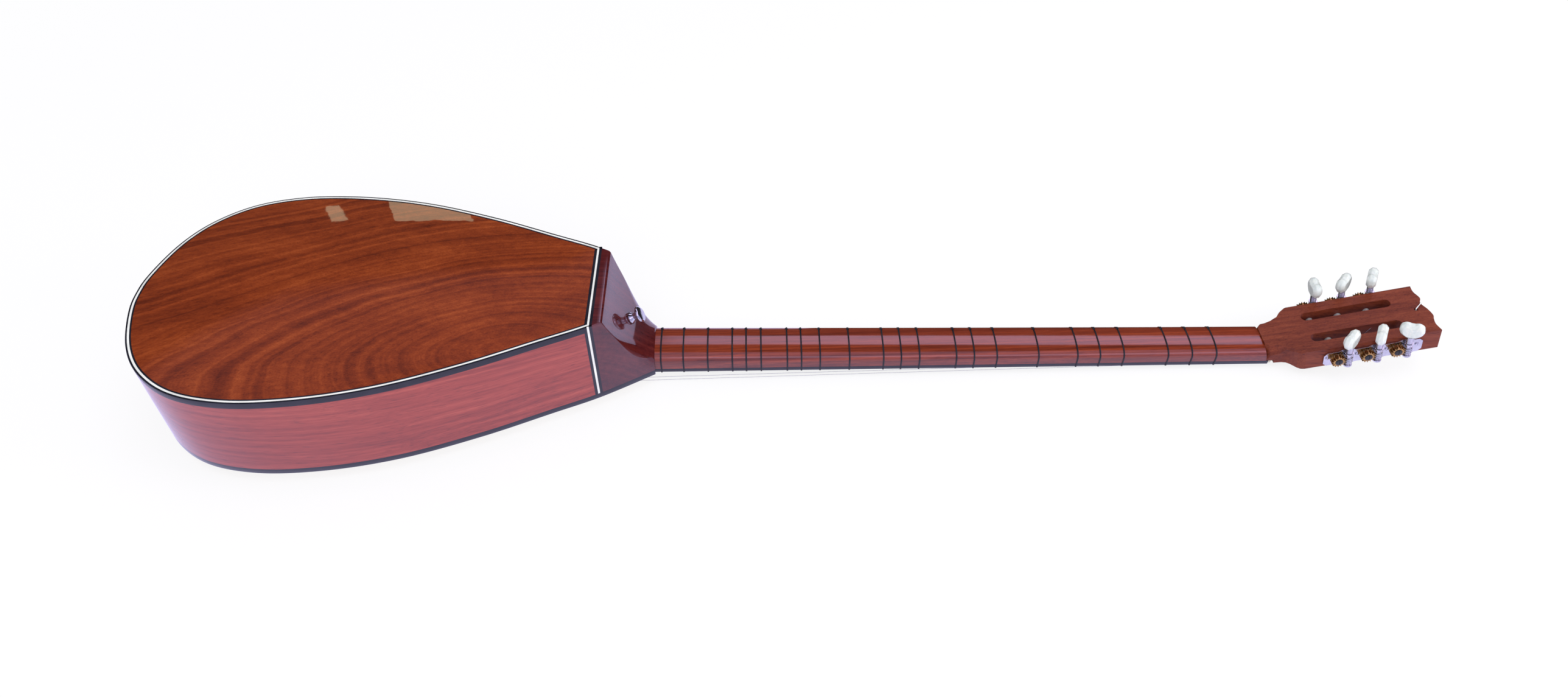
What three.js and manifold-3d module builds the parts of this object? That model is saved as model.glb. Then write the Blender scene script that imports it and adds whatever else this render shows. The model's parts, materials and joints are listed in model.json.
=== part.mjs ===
// Electric saz: a long-necked lute with a flat-sided teardrop body, tied frets and a slotted headstock.
// It lies face down, as it is often laid to show its back: the back faces +Z and the strings face the floor.
// The frame of the drawing has its zero at the nut, in the plane of the soundboard:
// +X runs to the headstock, +Y to the treble side and +Z from the soundboard to the back. Millimetres.

import * as THREE from 'three';
import { mergeVertices } from 'three/addons/utils/BufferGeometryUtils.js';
import Module from 'manifold-3d';

const wasm = await Module();
wasm.setup();

// Clearances and cutting
const seat = 0.3; // gap between pieces that touch
const overrun = 6; // how far a cutting tool runs past what it cuts
const weldTolerance = 0.0001;

// Neck and fingerboard
const stringLength = 834; // nut to bridge
const neckStringShare = 0.6349; // share of the string length that the neck takes
const neckHalfWidthNut = 17.5;
const neckHalfWidthHeel = 20.5;
const neckDepthNut = 10.2; // soundboard plane to the back of the neck
const neckDepthHeel = 19.6;
const neckDepthPower = 1.35; // how late the neck thickens on its way to the heel
const neckSideHeight = 4; // straight flank above the fingerboard
const fingerboardHeight = 4;
const fingerboardHeelRise = 4.2; // soundboard plane to the underside of the fingerboard, at the heel
const fingerboardNutDrop = 2.1; // the same at the nut, where the neck leans to the strings
const nutLength = 4.5;
const nutHeight = 5.8;

// Tied frets
const fretBandWidth = 2.7;
const fretBandHeight = 0.8;

// Body
const bodyLength = 368; // tail to the heel line
const bodyHalfWidth = 122;
const bodyDepth = 83;
const heelLength = 45; // heel line to the end of the neck
const heelEndHalfWidth = 23;
const backArch = 6;
const archPeakFromTail = 125;
const soundboardThickness = 3.5;
const backThickness = 3.2;
const ribThickness = 3.4;
const liningWidth = 5.3;
const liningHeight = 11;

// Edge bindings and the white line let into the back
const bindingWidth = 2.2;
const bindingHeight = 5.5;
const backBandWidth = 4.4;
const backBandThickness = 2.2;
const heelBandWidth = 5.4;
const whiteLineInset = 1.5;
const whiteLineWidth = 1.6;
const whiteLineDepth = 0.9;

// Heel and the blocks and bars inside
const heelFlatLength = 7; // flat strip between the heel band and the scoop
const scoopControlRun = 15;
const scoopControlHeight = 38;
const heelTenonLength = 22;
const tailBlockLength = 24;
const tailBlockHalfWidth = 34;
const braceWidth = 8;
const braceHeight = 13;
const backBraceUpperFromTail = 274;
const backBraceLowerFromTail = 131;
const topBraceFromTail = 156;

// Headstock
const headTilt = THREE.MathUtils.degToRad(13);
const headX = 31.5; // start of the string slots on the back of the headstock
const headZ = 19.9;
const headThickness = 21.3;
const headNeckThickness = 17.2;
const headFrontBend = 10; // slot start back to where the front bends towards the nut
const headHalfWidth = 27.3;
const headLength = 100; // slot start to the end corners
const headNeckReach = 37.4; // slot start back to the neck joint
const headFlareStart = 24.6;
const headFlareEnd = 8;
const headWave = 1.5; // depth of the waves on the end
const headEndSlant = 4; // how far the treble corner of the end stands back
const headCornerWidth = 9.5; // edge planed off the back at the neck joint
const headCornerHeight = 8.5;
const headCornerTaper = 3; // neck joint to where that edge has narrowed
const slotWidth = 9;
const slotOffset = 12.7; // centre line to the middle of a slot
const slotLength = 74;
const slotRampLength = 30;
const slotRampDepth = 8;
const hangHoleRadius = 1.6;
const hangHoleFromEnd = 9.8;
const loopRadius = 0.5;

// Machine heads: a worm on each button shaft turns a gear on each string post
const postCount = 3; // posts on each side
const postFirstBass = 16.4;
const postFirstTreble = 9.2;
const postPitch = 23.8;
const postRadius = 3;
const postBoreClearance = 0.4;
const postTipDepth = 6; // how far the post runs into the middle rail
const postStubRadius = 1.7;
const gearTeeth = 15;
const gearModule = 0.7;
const gearWidth = 5;
const gearHubLength = 1.1;
const gearHubRadius = 3.2;
const gearAddendum = 0.62;
const gearDedendum = 0.9;
const gearTipWidth = 0.34;
const gearRootWidth = 1;
const wormPitchRadius = 2.95;
const wormAddendum = 0.6;
const wormDedendum = 0.85;
const wormTipWidth = 0.34;
const wormRootWidth = 1;
const wormThreadTurns = 3;
const wormCoreLength = 11.6;
const shaftRadius = 1.6;
const shaftClearance = 0.3;
const collarRadius = 2.6;
const collarHeight = 7;
const buttonWidth = 19;
const buttonHeight = 15.5;
const buttonThickness = 7.8;
const buttonBevel = 2.4;
const buttonStemShare = 0.6;
const plateThickness = 1.2;
const plateAbove = 5.6; // post axis to the edge of the plate towards the back
const plateBelow = 9.2;
const plateCorner = 2.8;
const plateMargin = 10.4; // first post to the near end of the plate
const plateTail = 21.6; // last post to the far end of the plate
const tabWidth = 7;
const tabThickness = 1.3;
const plateLobeHalfWidth = 8;
const plateLobeReach = 10.3; // post axis to the tip of a lobe

// Strings, bridge and tailpiece
const stringRadius = 0.3;
const notchClearance = 0.3;
const nutCourseSpacing = 11.5;
const nutPairGap = 2.6;
const bridgeCourseSpacing = 24;
const bridgePairGap = 4;
const bridgeHeight = 10;
const bridgeLength = 9;
const bridgeHalfWidth = 35;
const bridgeArchHeight = 4.5;
const bridgeFootWidth = 16;
const tailpieceFromTail = 12;
const tailpieceLength = 18;
const tailpieceHalfWidth = 32;
const tailpieceHeight = 9;
const tailpieceBevel = 2;
const stringTailReach = 3;

// Pickup, controls and the jack in the tail
const pickupFromTail = 210;
const pickupLength = 18;
const pickupHalfWidth = 36;
const pickupTop = 5.5;
const pickupDepth = 14;
const pickupFlange = 4;
const pickupFlangeThickness = 1.6;
const poleRadius = 2.2;
const poleHeight = 0.6;
const volumeFromTail = 78;
const volumeWidthShare = 0.574; // centre line to the knob, as a share of the body's half width
const toneFromTail = 116;
const toneWidthShare = 0.656;
const knobRadius = 9;
const knobHeight = 7.6;
const knobLift = 2; // soundboard to the underside of a knob
const knobFluteDepth = 0.5;
const knobFlutes = 16;
const potRadius = 8.5;
const potDepth = 9;
const potBushRadius = 4.4;
const potWasherRadius = 6;
const potWasherThickness = 1.2;
const knobShaftRadius = 3;
const jackFlangeRadius = 8;
const jackWaistRadius = 6;
const jackHeadRadius = 8.5;
const jackStandOut = 12;
const jackBarrelRadius = 5.7;
const jackBarrelLength = 40;
const jackBoreRadius = 3.4;
const jackBoreLength = 44;

// Strap button on the heel
const strapBaseRadius = 5;
const strapWaistRadius = 3;
const strapHeadRadius = 7;
const strapLength = 11.5;
const strapBaseThickness = 2.4;
const strapHeadThickness = 3.2;
const strapHeadFaceShare = 0.8;

// Facet counts
const outlineSteps = 56;
const plateRings = 3;
const neckSteps = 8;
const roundSides = 12;
const boreSides = 10;
const fineSides = 8;
const wireSides = 6;
const threadSteps = 8; // facets to one turn of a worm
const notchSides = 4;

// Half widths of the body outline as shares of its length from the tail and of its half width
const outlineShares = [
  [0.004, 0.149],
  [0.04, 0.498],
  [0.09, 0.726],
  [0.17, 0.905],
  [0.28, 0.992],
  [0.42, 0.989],
  [0.58, 0.903],
  [0.75, 0.727],
  [0.9, 0.53],
  [1, 0.396],
];
// A pearl button seen flat, as shares of its half width and height, from the foot to the top
const buttonOutlineShares = [
  [0.42, 0],
  [0.82, 0.24],
  [1, 0.56],
  [0.93, 0.85],
  [0.64, 1],
  [0.25, 0.91],
];
// Places of the tied frets as shares of the string length, from the nut
const fretShares = [
  0.0566, 0.082, 0.1069, 0.153, 0.1777, 0.2011, 0.2415, 0.2846, 0.3081, 0.3265, 0.3645, 0.3833,
  0.4014, 0.4363, 0.4664, 0.4855, 0.5, 0.5267, 0.5419, 0.5561, 0.5811, 0.6059, 0.6286,
];
// Waves along the end of the headstock: share of its half width, share of the wave's depth
const headWaveShares = [
  [-0.72, -0.8],
  [-0.5, 0],
  [-0.34, 1],
  [-0.06, 0.4],
  [0.22, -1],
  [0.44, 0.6],
  [0.74, -0.5],
  [1, 0],
];
const loopNotch = 4; // which of these the hanging loop passes over
// The edge planed off the back of the headstock, as shares of its width and height, from the joint on
const headCornerShares = [
  [1, 1],
  [0.47, 1],
  [0.26, 0.7],
  [0.19, 0.45],
  [0.13, 0.25],
];
// How far each button is turned at rest, in degrees
const buttonTurns = [42, 61, -29, 88, 46, 61];

// Places worked out from the sizes above
const neckLength = stringLength * neckStringShare;
const jointX = -neckLength;
const heelX = jointX - heelLength;
const tailX = heelX - bodyLength;
const bridgeX = -stringLength;
const archPeakX = tailX + archPeakFromTail;
const pickupX = tailX + pickupFromTail;
const controls = [
  ['volume', tailX + volumeFromTail, volumeWidthShare * bodyHalfWidth],
  ['tone', tailX + toneFromTail, toneWidthShare * bodyHalfWidth],
];
const bandHalf = heelBandWidth / 2;
const whiteHalf = whiteLineWidth / 2;
const bodyEndX = jointX - seat;
const platesX = heelX - bandHalf - seat;
const gearRadius = (gearModule * gearTeeth) / 2;
const wormLead = Math.PI * gearModule;
const wormOffset = gearRadius + wormPitchRadius;
const wormAxisOut = seat + plateThickness + seat + wormPitchRadius + wormAddendum;
const postLevel = -headThickness / 2;
const postTip = slotOffset - slotWidth / 2 - postTipDepth; // centre line to the end of a post
const tabInner = wormCoreLength / 2 + seat;
const tabOuter = tabInner + tabThickness;
const buttonFoot = tabOuter + seat + collarHeight + seat;

// Colours and finishes
function finish(color, roughness, metalness = 0) {
  return new THREE.MeshStandardMaterial({ color, roughness, metalness });
}
const mahogany = () => finish(0x8a3b1c, 0.2);
const rosewood = () => finish(0x4a2018, 0.2);
const spruce = () => finish(0xd9b27c, 0.35);
const blackBinding = () => finish(0x14161f, 0.3);
const whiteBinding = () => finish(0xe8e8e4, 0.3);
const neckWood = () => finish(0x7a3516, 0.25);
const headWood = () => finish(0x6e2c1c, 0.6);
const innerWood = () => finish(0xb98f5e, 0.8);
const ebony = () => finish(0x17151a, 0.4);
const bone = () => finish(0xe9e2cf, 0.4);
const nickel = () => finish(0xb9bcc4, 0.25, 1);
const brass = () => finish(0xb0863a, 0.35, 1);
const steel = () => finish(0xc9ccd2, 0.2, 1);
const pearl = () => finish(0xf1f1ea, 0.25);
const blackPlastic = () => finish(0x101012, 0.45);
const nylon = () => finish(0xd9dadb, 0.3);

// Solids
function solid(geometry) {
  geometry.deleteAttribute('normal');
  geometry.deleteAttribute('uv');
  const welded = mergeVertices(geometry, weldTolerance);
  const vertProperties = new Float32Array(welded.attributes.position.array);
  const triVerts = new Uint32Array(welded.index.array);
  return new wasm.Manifold(new wasm.Mesh({ numProp: 3, vertProperties, triVerts }));
}

function geometryOf(body) {
  const mesh = body.getMesh();
  const geometry = new THREE.BufferGeometry();
  const position = new Float32Array((mesh.vertProperties.length / mesh.numProp) * 3);
  for (let i = 0; i < position.length / 3; i += 1) {
    for (let axis = 0; axis < 3; axis += 1) {
      position[3 * i + axis] = mesh.vertProperties[mesh.numProp * i + axis];
    }
  }
  geometry.setAttribute('position', new THREE.BufferAttribute(position, 3));
  geometry.setIndex(new THREE.BufferAttribute(new Uint32Array(mesh.triVerts), 1));
  geometry.computeVertexNormals();
  return geometry;
}

function named(name, body, material) {
  const mesh = new THREE.Mesh(geometryOf(body), material);
  mesh.name = name;
  return mesh;
}

function box(x0, x1, y0, y1, z0, z1) {
  const geometry = new THREE.BoxGeometry(x1 - x0, y1 - y0, z1 - z0);
  geometry.translate((x0 + x1) / 2, (y0 + y1) / 2, (z0 + z1) / 2);
  return solid(geometry);
}

function rod(radius, start, end, sides = roundSides) {
  const along = end.clone().sub(start);
  const geometry = new THREE.CylinderGeometry(radius, radius, along.length(), sides);
  const turn = new THREE.Quaternion().setFromUnitVectors(new THREE.Vector3(0, 1, 0), along.normalize());
  geometry.applyQuaternion(turn);
  const middle = start.clone().add(end).multiplyScalar(0.5);
  geometry.translate(middle.x, middle.y, middle.z);
  return solid(geometry);
}

// A profile of [radius, height] pairs turned about +Y
function turned(profile, sides = roundSides) {
  return solid(new THREE.LatheGeometry(profile.map(([r, y]) => new THREE.Vector2(r, y)), sides));
}

// An outline in the plane of X and Y, raised from z0 to z1
function raised(shape, z0, z1, curveSegments = fineSides) {
  const geometry = new THREE.ExtrudeGeometry(shape, { depth: z1 - z0, bevelEnabled: false, curveSegments });
  geometry.translate(0, 0, z0);
  return solid(geometry);
}

// An outline in the plane of X and Z, carried along Y from y0 to y1
function carried(shape, y0, y1, curveSegments = fineSides) {
  const geometry = new THREE.ExtrudeGeometry(shape, { depth: y1 - y0, bevelEnabled: false, curveSegments });
  geometry.rotateX(Math.PI / 2);
  geometry.translate(0, y1, 0);
  return solid(geometry);
}

// Rings of points, counterclockwise about the way they advance, skinned into one closed solid
function lofted(rings, closed = false) {
  const count = rings[0].length;
  const position = rings.flat().flatMap((p) => [p.x, p.y, p.z]);
  const index = [];
  const spans = closed ? rings.length : rings.length - 1;
  for (let k = 0; k < spans; k += 1) {
    const a = k * count;
    const b = ((k + 1) % rings.length) * count;
    for (let i = 0; i < count; i += 1) {
      const j = (i + 1) % count;
      index.push(a + i, a + j, b + j, a + i, b + j, b + i);
    }
  }
  if (!closed) {
    const last = (rings.length - 1) * count;
    for (let i = 1; i < count - 1; i += 1) {
      index.push(0, i + 1, i, last, last + i, last + i + 1);
    }
  }
  const geometry = new THREE.BufferGeometry();
  geometry.setAttribute('position', new THREE.Float32BufferAttribute(position, 3));
  geometry.setIndex(index);
  return solid(geometry);
}

// A round wire through a list of points
function wire(points, radius, sides = wireSides, closed = false) {
  const rings = points.map((point, k) => {
    const before = points[closed ? (k + points.length - 1) % points.length : Math.max(k - 1, 0)];
    const after = points[closed ? (k + 1) % points.length : Math.min(k + 1, points.length - 1)];
    const along = after.clone().sub(before).normalize();
    const guide = Math.abs(along.y) < Math.SQRT1_2 ? new THREE.Vector3(0, 1, 0) : new THREE.Vector3(0, 0, 1);
    const across = guide.clone().cross(along).normalize();
    const up = along.clone().cross(across);
    return Array.from({ length: sides }, (_, i) => {
      const angle = (2 * Math.PI * i) / sides;
      return point
        .clone()
        .addScaledVector(across, radius * Math.cos(angle))
        .addScaledVector(up, radius * Math.sin(angle));
    });
  });
  return lofted(rings, closed);
}

function joined(bodies) {
  return bodies.reduce((whole, body) => whole.add(body));
}

function cutBy(body, tools) {
  return tools.reduce((rest, tool) => rest.subtract(tool), body);
}

// Body outline, from the treble end of the heel round the tail to the bass end
function outlinePoints() {
  const side = outlineShares.map(([along, wide]) => [tailX + along * bodyLength, wide * bodyHalfWidth]);
  const [lastX, lastWidth] = side[side.length - 1];
  const slope = (heelEndHalfWidth - lastWidth) / (jointX - lastX);
  side.push([jointX, heelEndHalfWidth]);
  side.push([jointX + overrun, heelEndHalfWidth + slope * overrun]);
  const treble = side.map(([x, w]) => new THREE.Vector3(x, w, 0)).reverse();
  const bass = side.map(([x, w]) => new THREE.Vector3(x, -w, 0));
  const tail = new THREE.Vector3(tailX, 0, 0);
  const curve = new THREE.CatmullRomCurve3([...treble, tail, ...bass], false, 'centripetal');
  return curve.getSpacedPoints(outlineSteps).map((p) => new THREE.Vector2(p.x, p.y));
}
const outline = outlinePoints();

function insetOutline(inset) {
  return outline.map((point, i) => {
    const before = outline[Math.max(i - 1, 0)];
    const after = outline[Math.min(i + 1, outline.length - 1)];
    const along = after.clone().sub(before).normalize();
    return new THREE.Vector2(point.x - along.y * inset, point.y + along.x * inset);
  });
}

// The body's plan drawn in by an inset, raised from z0 to z1
function plan(inset, z0, z1) {
  return raised(new THREE.Shape(insetOutline(inset)), z0, z1);
}

// A band of the plan between two insets
function band(outer, inner, z0, z1) {
  return plan(outer, z0, z1).subtract(plan(inner, z0 - overrun, z1 + overrun));
}

function slice(body, x0, x1) {
  const reach = bodyHalfWidth + overrun;
  return body.intersect(box(x0, x1, -reach, reach, -bodyDepth, 2 * bodyDepth));
}

function halfWidthAt(x, inset) {
  const side = insetOutline(inset).slice(outlineSteps / 2);
  const next = side.findIndex((p) => p.x >= x);
  const a = side[next - 1];
  const b = side[next];
  return -THREE.MathUtils.mapLinear(x, a.x, b.x, a.y, b.y);
}

// Rise of the arched back at a place on its centre line, at a share of the way out to the edge
function archRise(x, share) {
  const past = Math.max(x - archPeakX, 0) / (platesX - archPeakX);
  return backArch * (1 - past * past) * (1 - share * share);
}

function backPlate() {
  const edgeInset = backBandWidth + seat;
  const edge = insetOutline(edgeInset).filter((p) => p.x < platesX);
  const cornerWidth = halfWidthAt(platesX, edgeInset);
  edge.unshift(new THREE.Vector2(platesX, cornerWidth));
  edge.push(new THREE.Vector2(platesX, -cornerWidth));
  const spine = edge.map((p) => new THREE.Vector2(Math.max(p.x, archPeakX), 0));
  const layer = (base) =>
    edge.map((p, i) =>
      Array.from({ length: plateRings + 1 }, (_, k) => {
        const share = 1 - k / plateRings;
        const place = spine[i].clone().lerp(p, share);
        return new THREE.Vector3(place.x, place.y, base + archRise(spine[i].x, share));
      }),
    );
  const top = layer(bodyDepth);
  const bottom = layer(bodyDepth - backThickness);
  const position = [];
  const face = (a, b, c) => {
    const shortest = Math.min(a.distanceTo(b), b.distanceTo(c), c.distanceTo(a));
    if (shortest > weldTolerance) position.push(...a, ...b, ...c);
  };
  const quad = (a, b, c, d) => {
    face(a, b, c);
    face(a, c, d);
  };
  for (let i = 0; i < edge.length - 1; i += 1) {
    for (let k = 0; k < plateRings; k += 1) {
      quad(top[i][k], top[i + 1][k], top[i + 1][k + 1], top[i][k + 1]);
      quad(bottom[i][k], bottom[i][k + 1], bottom[i + 1][k + 1], bottom[i + 1][k]);
    }
    quad(top[i][0], bottom[i][0], bottom[i + 1][0], top[i + 1][0]);
  }
  const last = edge.length - 1;
  for (let k = 0; k < plateRings; k += 1) {
    quad(top[0][k], top[0][k + 1], bottom[0][k + 1], bottom[0][k]);
    quad(top[last][k], bottom[last][k], bottom[last][k + 1], top[last][k + 1]);
  }
  const geometry = new THREE.BufferGeometry();
  geometry.setAttribute('position', new THREE.Float32BufferAttribute(position, 3));
  return solid(geometry);
}

function backBinding() {
  const ring = slice(
    joined([
      band(0, backBandWidth, bodyDepth - backBandThickness, bodyDepth),
      band(0, bindingWidth, bodyDepth - bindingHeight, bodyDepth),
    ]),
    tailX - overrun,
    heelX + bandHalf,
  );
  const cross = slice(plan(0, bodyDepth - backBandThickness, bodyDepth), heelX - bandHalf, heelX + bandHalf);
  const legs = slice(
    band(0, bindingWidth, bindingHeight + seat, bodyDepth),
    heelX - bandHalf,
    heelX + bandHalf,
  );
  return joined([ring, cross, legs]).subtract(whiteLine(seat));
}

function topBinding() {
  return slice(band(0, bindingWidth, 0, bindingHeight), tailX - overrun, bodyEndX);
}

// The white line round the back, across the heel and down the ribs, grown on every side
function whiteLine(grow) {
  const inner = whiteLineInset + whiteLineWidth + grow;
  const floor = bodyDepth - whiteLineDepth - grow;
  const head = grow > 0 ? bodyDepth + overrun : bodyDepth;
  const half = whiteHalf + grow;
  const outside = grow > 0 ? -overrun : 0;
  const ring = slice(band(whiteLineInset - grow, inner, floor, head), tailX - overrun, heelX + half);
  const cross = slice(plan(outside, floor, head), heelX - half, heelX + half);
  const legs = slice(
    band(outside, whiteLineDepth + grow, bindingHeight + seat, head),
    heelX - half,
    heelX + half,
  );
  return joined([ring, cross, legs]);
}

function rib(side) {
  const wall = band(0, ribThickness, bindingHeight + seat, bodyDepth - bindingHeight - seat);
  const far = side * (bodyHalfWidth + overrun);
  const near = (side * seat) / 2;
  const half = box(tailX - overrun, platesX, Math.min(near, far), Math.max(near, far), 0, bodyDepth);
  return wall.intersect(half).subtract(jackHole());
}

function jackHole() {
  const z = bodyDepth / 2;
  const start = new THREE.Vector3(tailX - overrun, 0, z);
  const end = new THREE.Vector3(tailX + jackBarrelLength, 0, z);
  return rod(jackBarrelRadius + seat, start, end);
}

function soundboard() {
  const sheet = slice(plan(bindingWidth + seat, 0, soundboardThickness), tailX, bodyEndX);
  const cuts = [pickupCore(seat)];
  for (const [, x, y] of controls) {
    const low = new THREE.Vector3(x, y, -overrun);
    const high = new THREE.Vector3(x, y, overrun);
    cuts.push(rod(potBushRadius + seat, low, high));
  }
  return cutBy(sheet, cuts);
}

function lining(z0) {
  const inner = ribThickness + seat;
  const strip = band(inner, inner + liningWidth, z0, z0 + liningHeight);
  return slice(strip, tailX, heelX - heelTenonLength - seat);
}
const topLiningZ = soundboardThickness + seat;
const backLiningZ = bodyDepth - backThickness - seat - liningHeight;

function tailBlock() {
  const z0 = topLiningZ + liningHeight + seat;
  const z1 = backLiningZ - seat;
  const block = slice(plan(ribThickness + seat, z0, z1), tailX, tailX + ribThickness + tailBlockLength);
  const width = box(tailX, tailX + bodyLength, -tailBlockHalfWidth, tailBlockHalfWidth, 0, bodyDepth);
  return block.intersect(width).subtract(jackHole());
}

// Hollow of the heel, from the flat strip behind its band down to the neck
const heelStart = heelX + bandHalf + seat;
const scoopCurve = new THREE.QuadraticBezierCurve(
  new THREE.Vector2(heelStart + heelFlatLength, bodyDepth),
  new THREE.Vector2(heelStart + heelFlatLength + scoopControlRun, scoopControlHeight),
  new THREE.Vector2(jointX, neckDepthHeel),
);

// Scooped block that carries the neck, with its tenon inside the body
function heelBlock() {
  const start = heelStart;
  const outer = slice(plan(0, bindingHeight + seat, bodyDepth), start, bodyEndX);
  const foot = slice(plan(bindingWidth + seat, soundboardThickness + seat, bodyDepth), start, bodyEndX);
  const scoop = new THREE.Shape([
    ...scoopCurve.getPoints(roundSides),
    new THREE.Vector2(jointX + overrun, neckDepthHeel),
    new THREE.Vector2(jointX + overrun, bodyDepth + overrun),
    new THREE.Vector2(start + heelFlatLength, bodyDepth + overrun),
  ]);
  const reach = bodyHalfWidth;
  const carved = joined([outer, foot]).subtract(carried(scoop, -reach, reach));
  const tenonTop = bodyDepth - backThickness - seat;
  const tenon = plan(ribThickness + seat, soundboardThickness + seat, tenonTop);
  return carved.add(slice(tenon, heelX - heelTenonLength, start + seat));
}

// Half length of a cross bar that fits between the linings
function braceReach(x) {
  const inner = ribThickness + seat + liningWidth;
  const half = braceWidth / 2;
  return Math.min(halfWidthAt(x - half, inner), halfWidthAt(x + half, inner)) - seat;
}

// Cross bar under the arched back
function backBrace(x) {
  const half = braceWidth / 2;
  const end = braceReach(x);
  const steps = plateRings * 2;
  const shape = new THREE.Shape();
  shape.moveTo(-end, bodyDepth - backThickness - seat - braceHeight);
  shape.lineTo(end, bodyDepth - backThickness - seat - braceHeight);
  for (let k = 0; k <= steps; k += 1) {
    const y = end - (2 * end * k) / steps;
    const widths = [x - half, x + half].map((place) => {
      const share = Math.abs(y) / halfWidthAt(place, backBandWidth + seat);
      return archRise(place, share);
    });
    const sag = backArch / (steps * steps);
    shape.lineTo(y, bodyDepth - backThickness - seat - sag + Math.min(...widths));
  }
  const geometry = new THREE.ExtrudeGeometry(shape, { depth: braceWidth, bevelEnabled: false });
  geometry.rotateX(Math.PI / 2);
  geometry.rotateZ(Math.PI / 2);
  geometry.translate(x - half, 0, 0);
  return solid(geometry);
}

function topBrace() {
  const x = tailX + topBraceFromTail;
  const half = braceWidth / 2;
  const end = braceReach(x);
  const z0 = soundboardThickness + seat;
  return box(x - half, x + half, -end, end, z0, z0 + braceHeight);
}

// Neck
function neckShare(x) {
  return THREE.MathUtils.clamp(-x / neckLength, 0, 1);
}

function neckHalfWidth(x) {
  return THREE.MathUtils.lerp(neckHalfWidthNut, neckHalfWidthHeel, neckShare(x));
}

// Underside of the fingerboard: the neck leans to the strings on its way to the nut
function boardZ(x) {
  return THREE.MathUtils.lerp(-fingerboardNutDrop, fingerboardHeelRise, neckShare(x));
}

function neckSection(x, grow) {
  const half = neckHalfWidth(x) + grow;
  const share = neckShare(x) ** neckDepthPower;
  const crown = THREE.MathUtils.lerp(neckDepthNut, neckDepthHeel, share) + grow;
  const front = boardZ(x) + seat;
  const shoulder = front + neckSideHeight;
  const points = [new THREE.Vector3(x, half, front)];
  for (let k = 0; k <= neckSteps; k += 1) {
    const angle = (Math.PI * k) / neckSteps;
    const wide = Math.sign(Math.cos(angle)) * Math.abs(Math.cos(angle)) ** 0.8;
    const high = Math.sin(angle) ** 0.8;
    points.push(new THREE.Vector3(x, half * wide, shoulder + (crown - shoulder) * high));
  }
  points.push(new THREE.Vector3(x, -half, front));
  return points;
}

const fretPlaces = fretShares.map((share) => -share * stringLength);

function neckShaft() {
  const half = fretBandWidth / 2;
  const bands = [...fretPlaces].reverse().flatMap((x) => [
    neckSection(x - half, 0),
    neckSection(x - half, fretBandHeight),
    neckSection(x + half, fretBandHeight),
    neckSection(x + half, 0),
  ]);
  const stick = lofted([neckSection(jointX, 0), ...bands, neckSection(0, 0)]);
  const reach = headHalfWidth + overrun;
  const head = box(-headNeckReach - seat, headLength, -reach, reach, -bodyDepth, bodyDepth);
  return stick.subtract(fromHeadFrame(head));
}

function fingerboard() {
  const heelEnd = jointX + seat;
  const shape = new THREE.Shape([
    new THREE.Vector2(heelEnd, -neckHalfWidth(heelEnd)),
    new THREE.Vector2(0, -neckHalfWidthNut),
    new THREE.Vector2(0, neckHalfWidthNut),
    new THREE.Vector2(heelEnd, neckHalfWidth(heelEnd)),
  ]);
  const board = raised(shape, -fingerboardHeight, 0);
  const half = fretBandWidth / 2;
  const ties = fretPlaces.map((x) => {
    const wide = neckHalfWidth(x) + fretBandHeight;
    return box(x - half, x + half, -wide, wide, -fingerboardHeight - fretBandHeight, 0);
  });
  const lean = (fingerboardHeelRise + fingerboardNutDrop) / neckLength;
  const level = new THREE.Matrix4().makeTranslation(0, 0, -fingerboardNutDrop);
  const leaning = new THREE.Matrix4().makeShear(0, -lean, 0, 0, 0, 0);
  return moved(joined([board, ...ties]), level.multiply(leaning));
}

function nut() {
  const half = neckHalfWidthNut;
  const low = -fingerboardNutDrop - nutHeight;
  const blank = box(seat, seat + nutLength, -half, half, low, -fingerboardNutDrop);
  return cutBy(blank, notches());
}

// Headstock, in its own tilted frame: X up the head from the start of the slots, Z out of its back
const headFrame = new THREE.Group();
headFrame.position.set(headX, 0, headZ);
headFrame.rotation.y = -headTilt;
headFrame.updateMatrix();

function moved(body, matrix) {
  const geometry = geometryOf(body);
  geometry.applyMatrix4(matrix);
  return solid(geometry);
}

function fromHeadFrame(body) {
  return moved(body, headFrame.matrix);
}

function inHeadFrame(body) {
  return moved(body, headFrame.matrix.clone().invert());
}

// Treble flank of the headstock between the neck and its full width
const headFlare = new THREE.CubicBezierCurve(
  new THREE.Vector2(-headFlareStart, neckHalfWidthNut),
  new THREE.Vector2(-(headFlareStart + headFlareEnd) / 2, neckHalfWidthNut),
  new THREE.Vector2(-(headFlareStart + headFlareEnd) / 2, headHalfWidth),
  new THREE.Vector2(-headFlareEnd, headHalfWidth),
);

function headPlan() {
  const flare = headFlare.getPoints(wireSides);
  const shape = new THREE.Shape();
  shape.moveTo(-headNeckReach - overrun, -neckHalfWidthNut);
  for (const p of flare) shape.lineTo(p.x, -p.y);
  shape.lineTo(headLength, -headHalfWidth);
  shape.splineThru(
    headWaveShares.map(([across, wave]) => {
      const back = (headEndSlant * (1 + across)) / 2;
      return new THREE.Vector2(headLength - back + wave * headWave, across * headHalfWidth);
    }),
  );
  for (const p of [...flare].reverse()) shape.lineTo(p.x, p.y);
  shape.lineTo(-headNeckReach - overrun, neckHalfWidthNut);
  return shape;
}

// Front and back of the headstock from the side: the front bends towards the nut
function headSide() {
  return new THREE.Shape([
    new THREE.Vector2(-headNeckReach, 0),
    new THREE.Vector2(-headNeckReach, -headNeckThickness),
    new THREE.Vector2(-headFrontBend, -headThickness),
    new THREE.Vector2(headLength + overrun, -headThickness),
    new THREE.Vector2(headLength + overrun, 0),
  ]);
}

function headFrontZ(x) {
  const share = (x + headNeckReach) / (headNeckReach - headFrontBend);
  return -THREE.MathUtils.lerp(headNeckThickness, headThickness, THREE.MathUtils.clamp(share, 0, 1));
}

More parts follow.
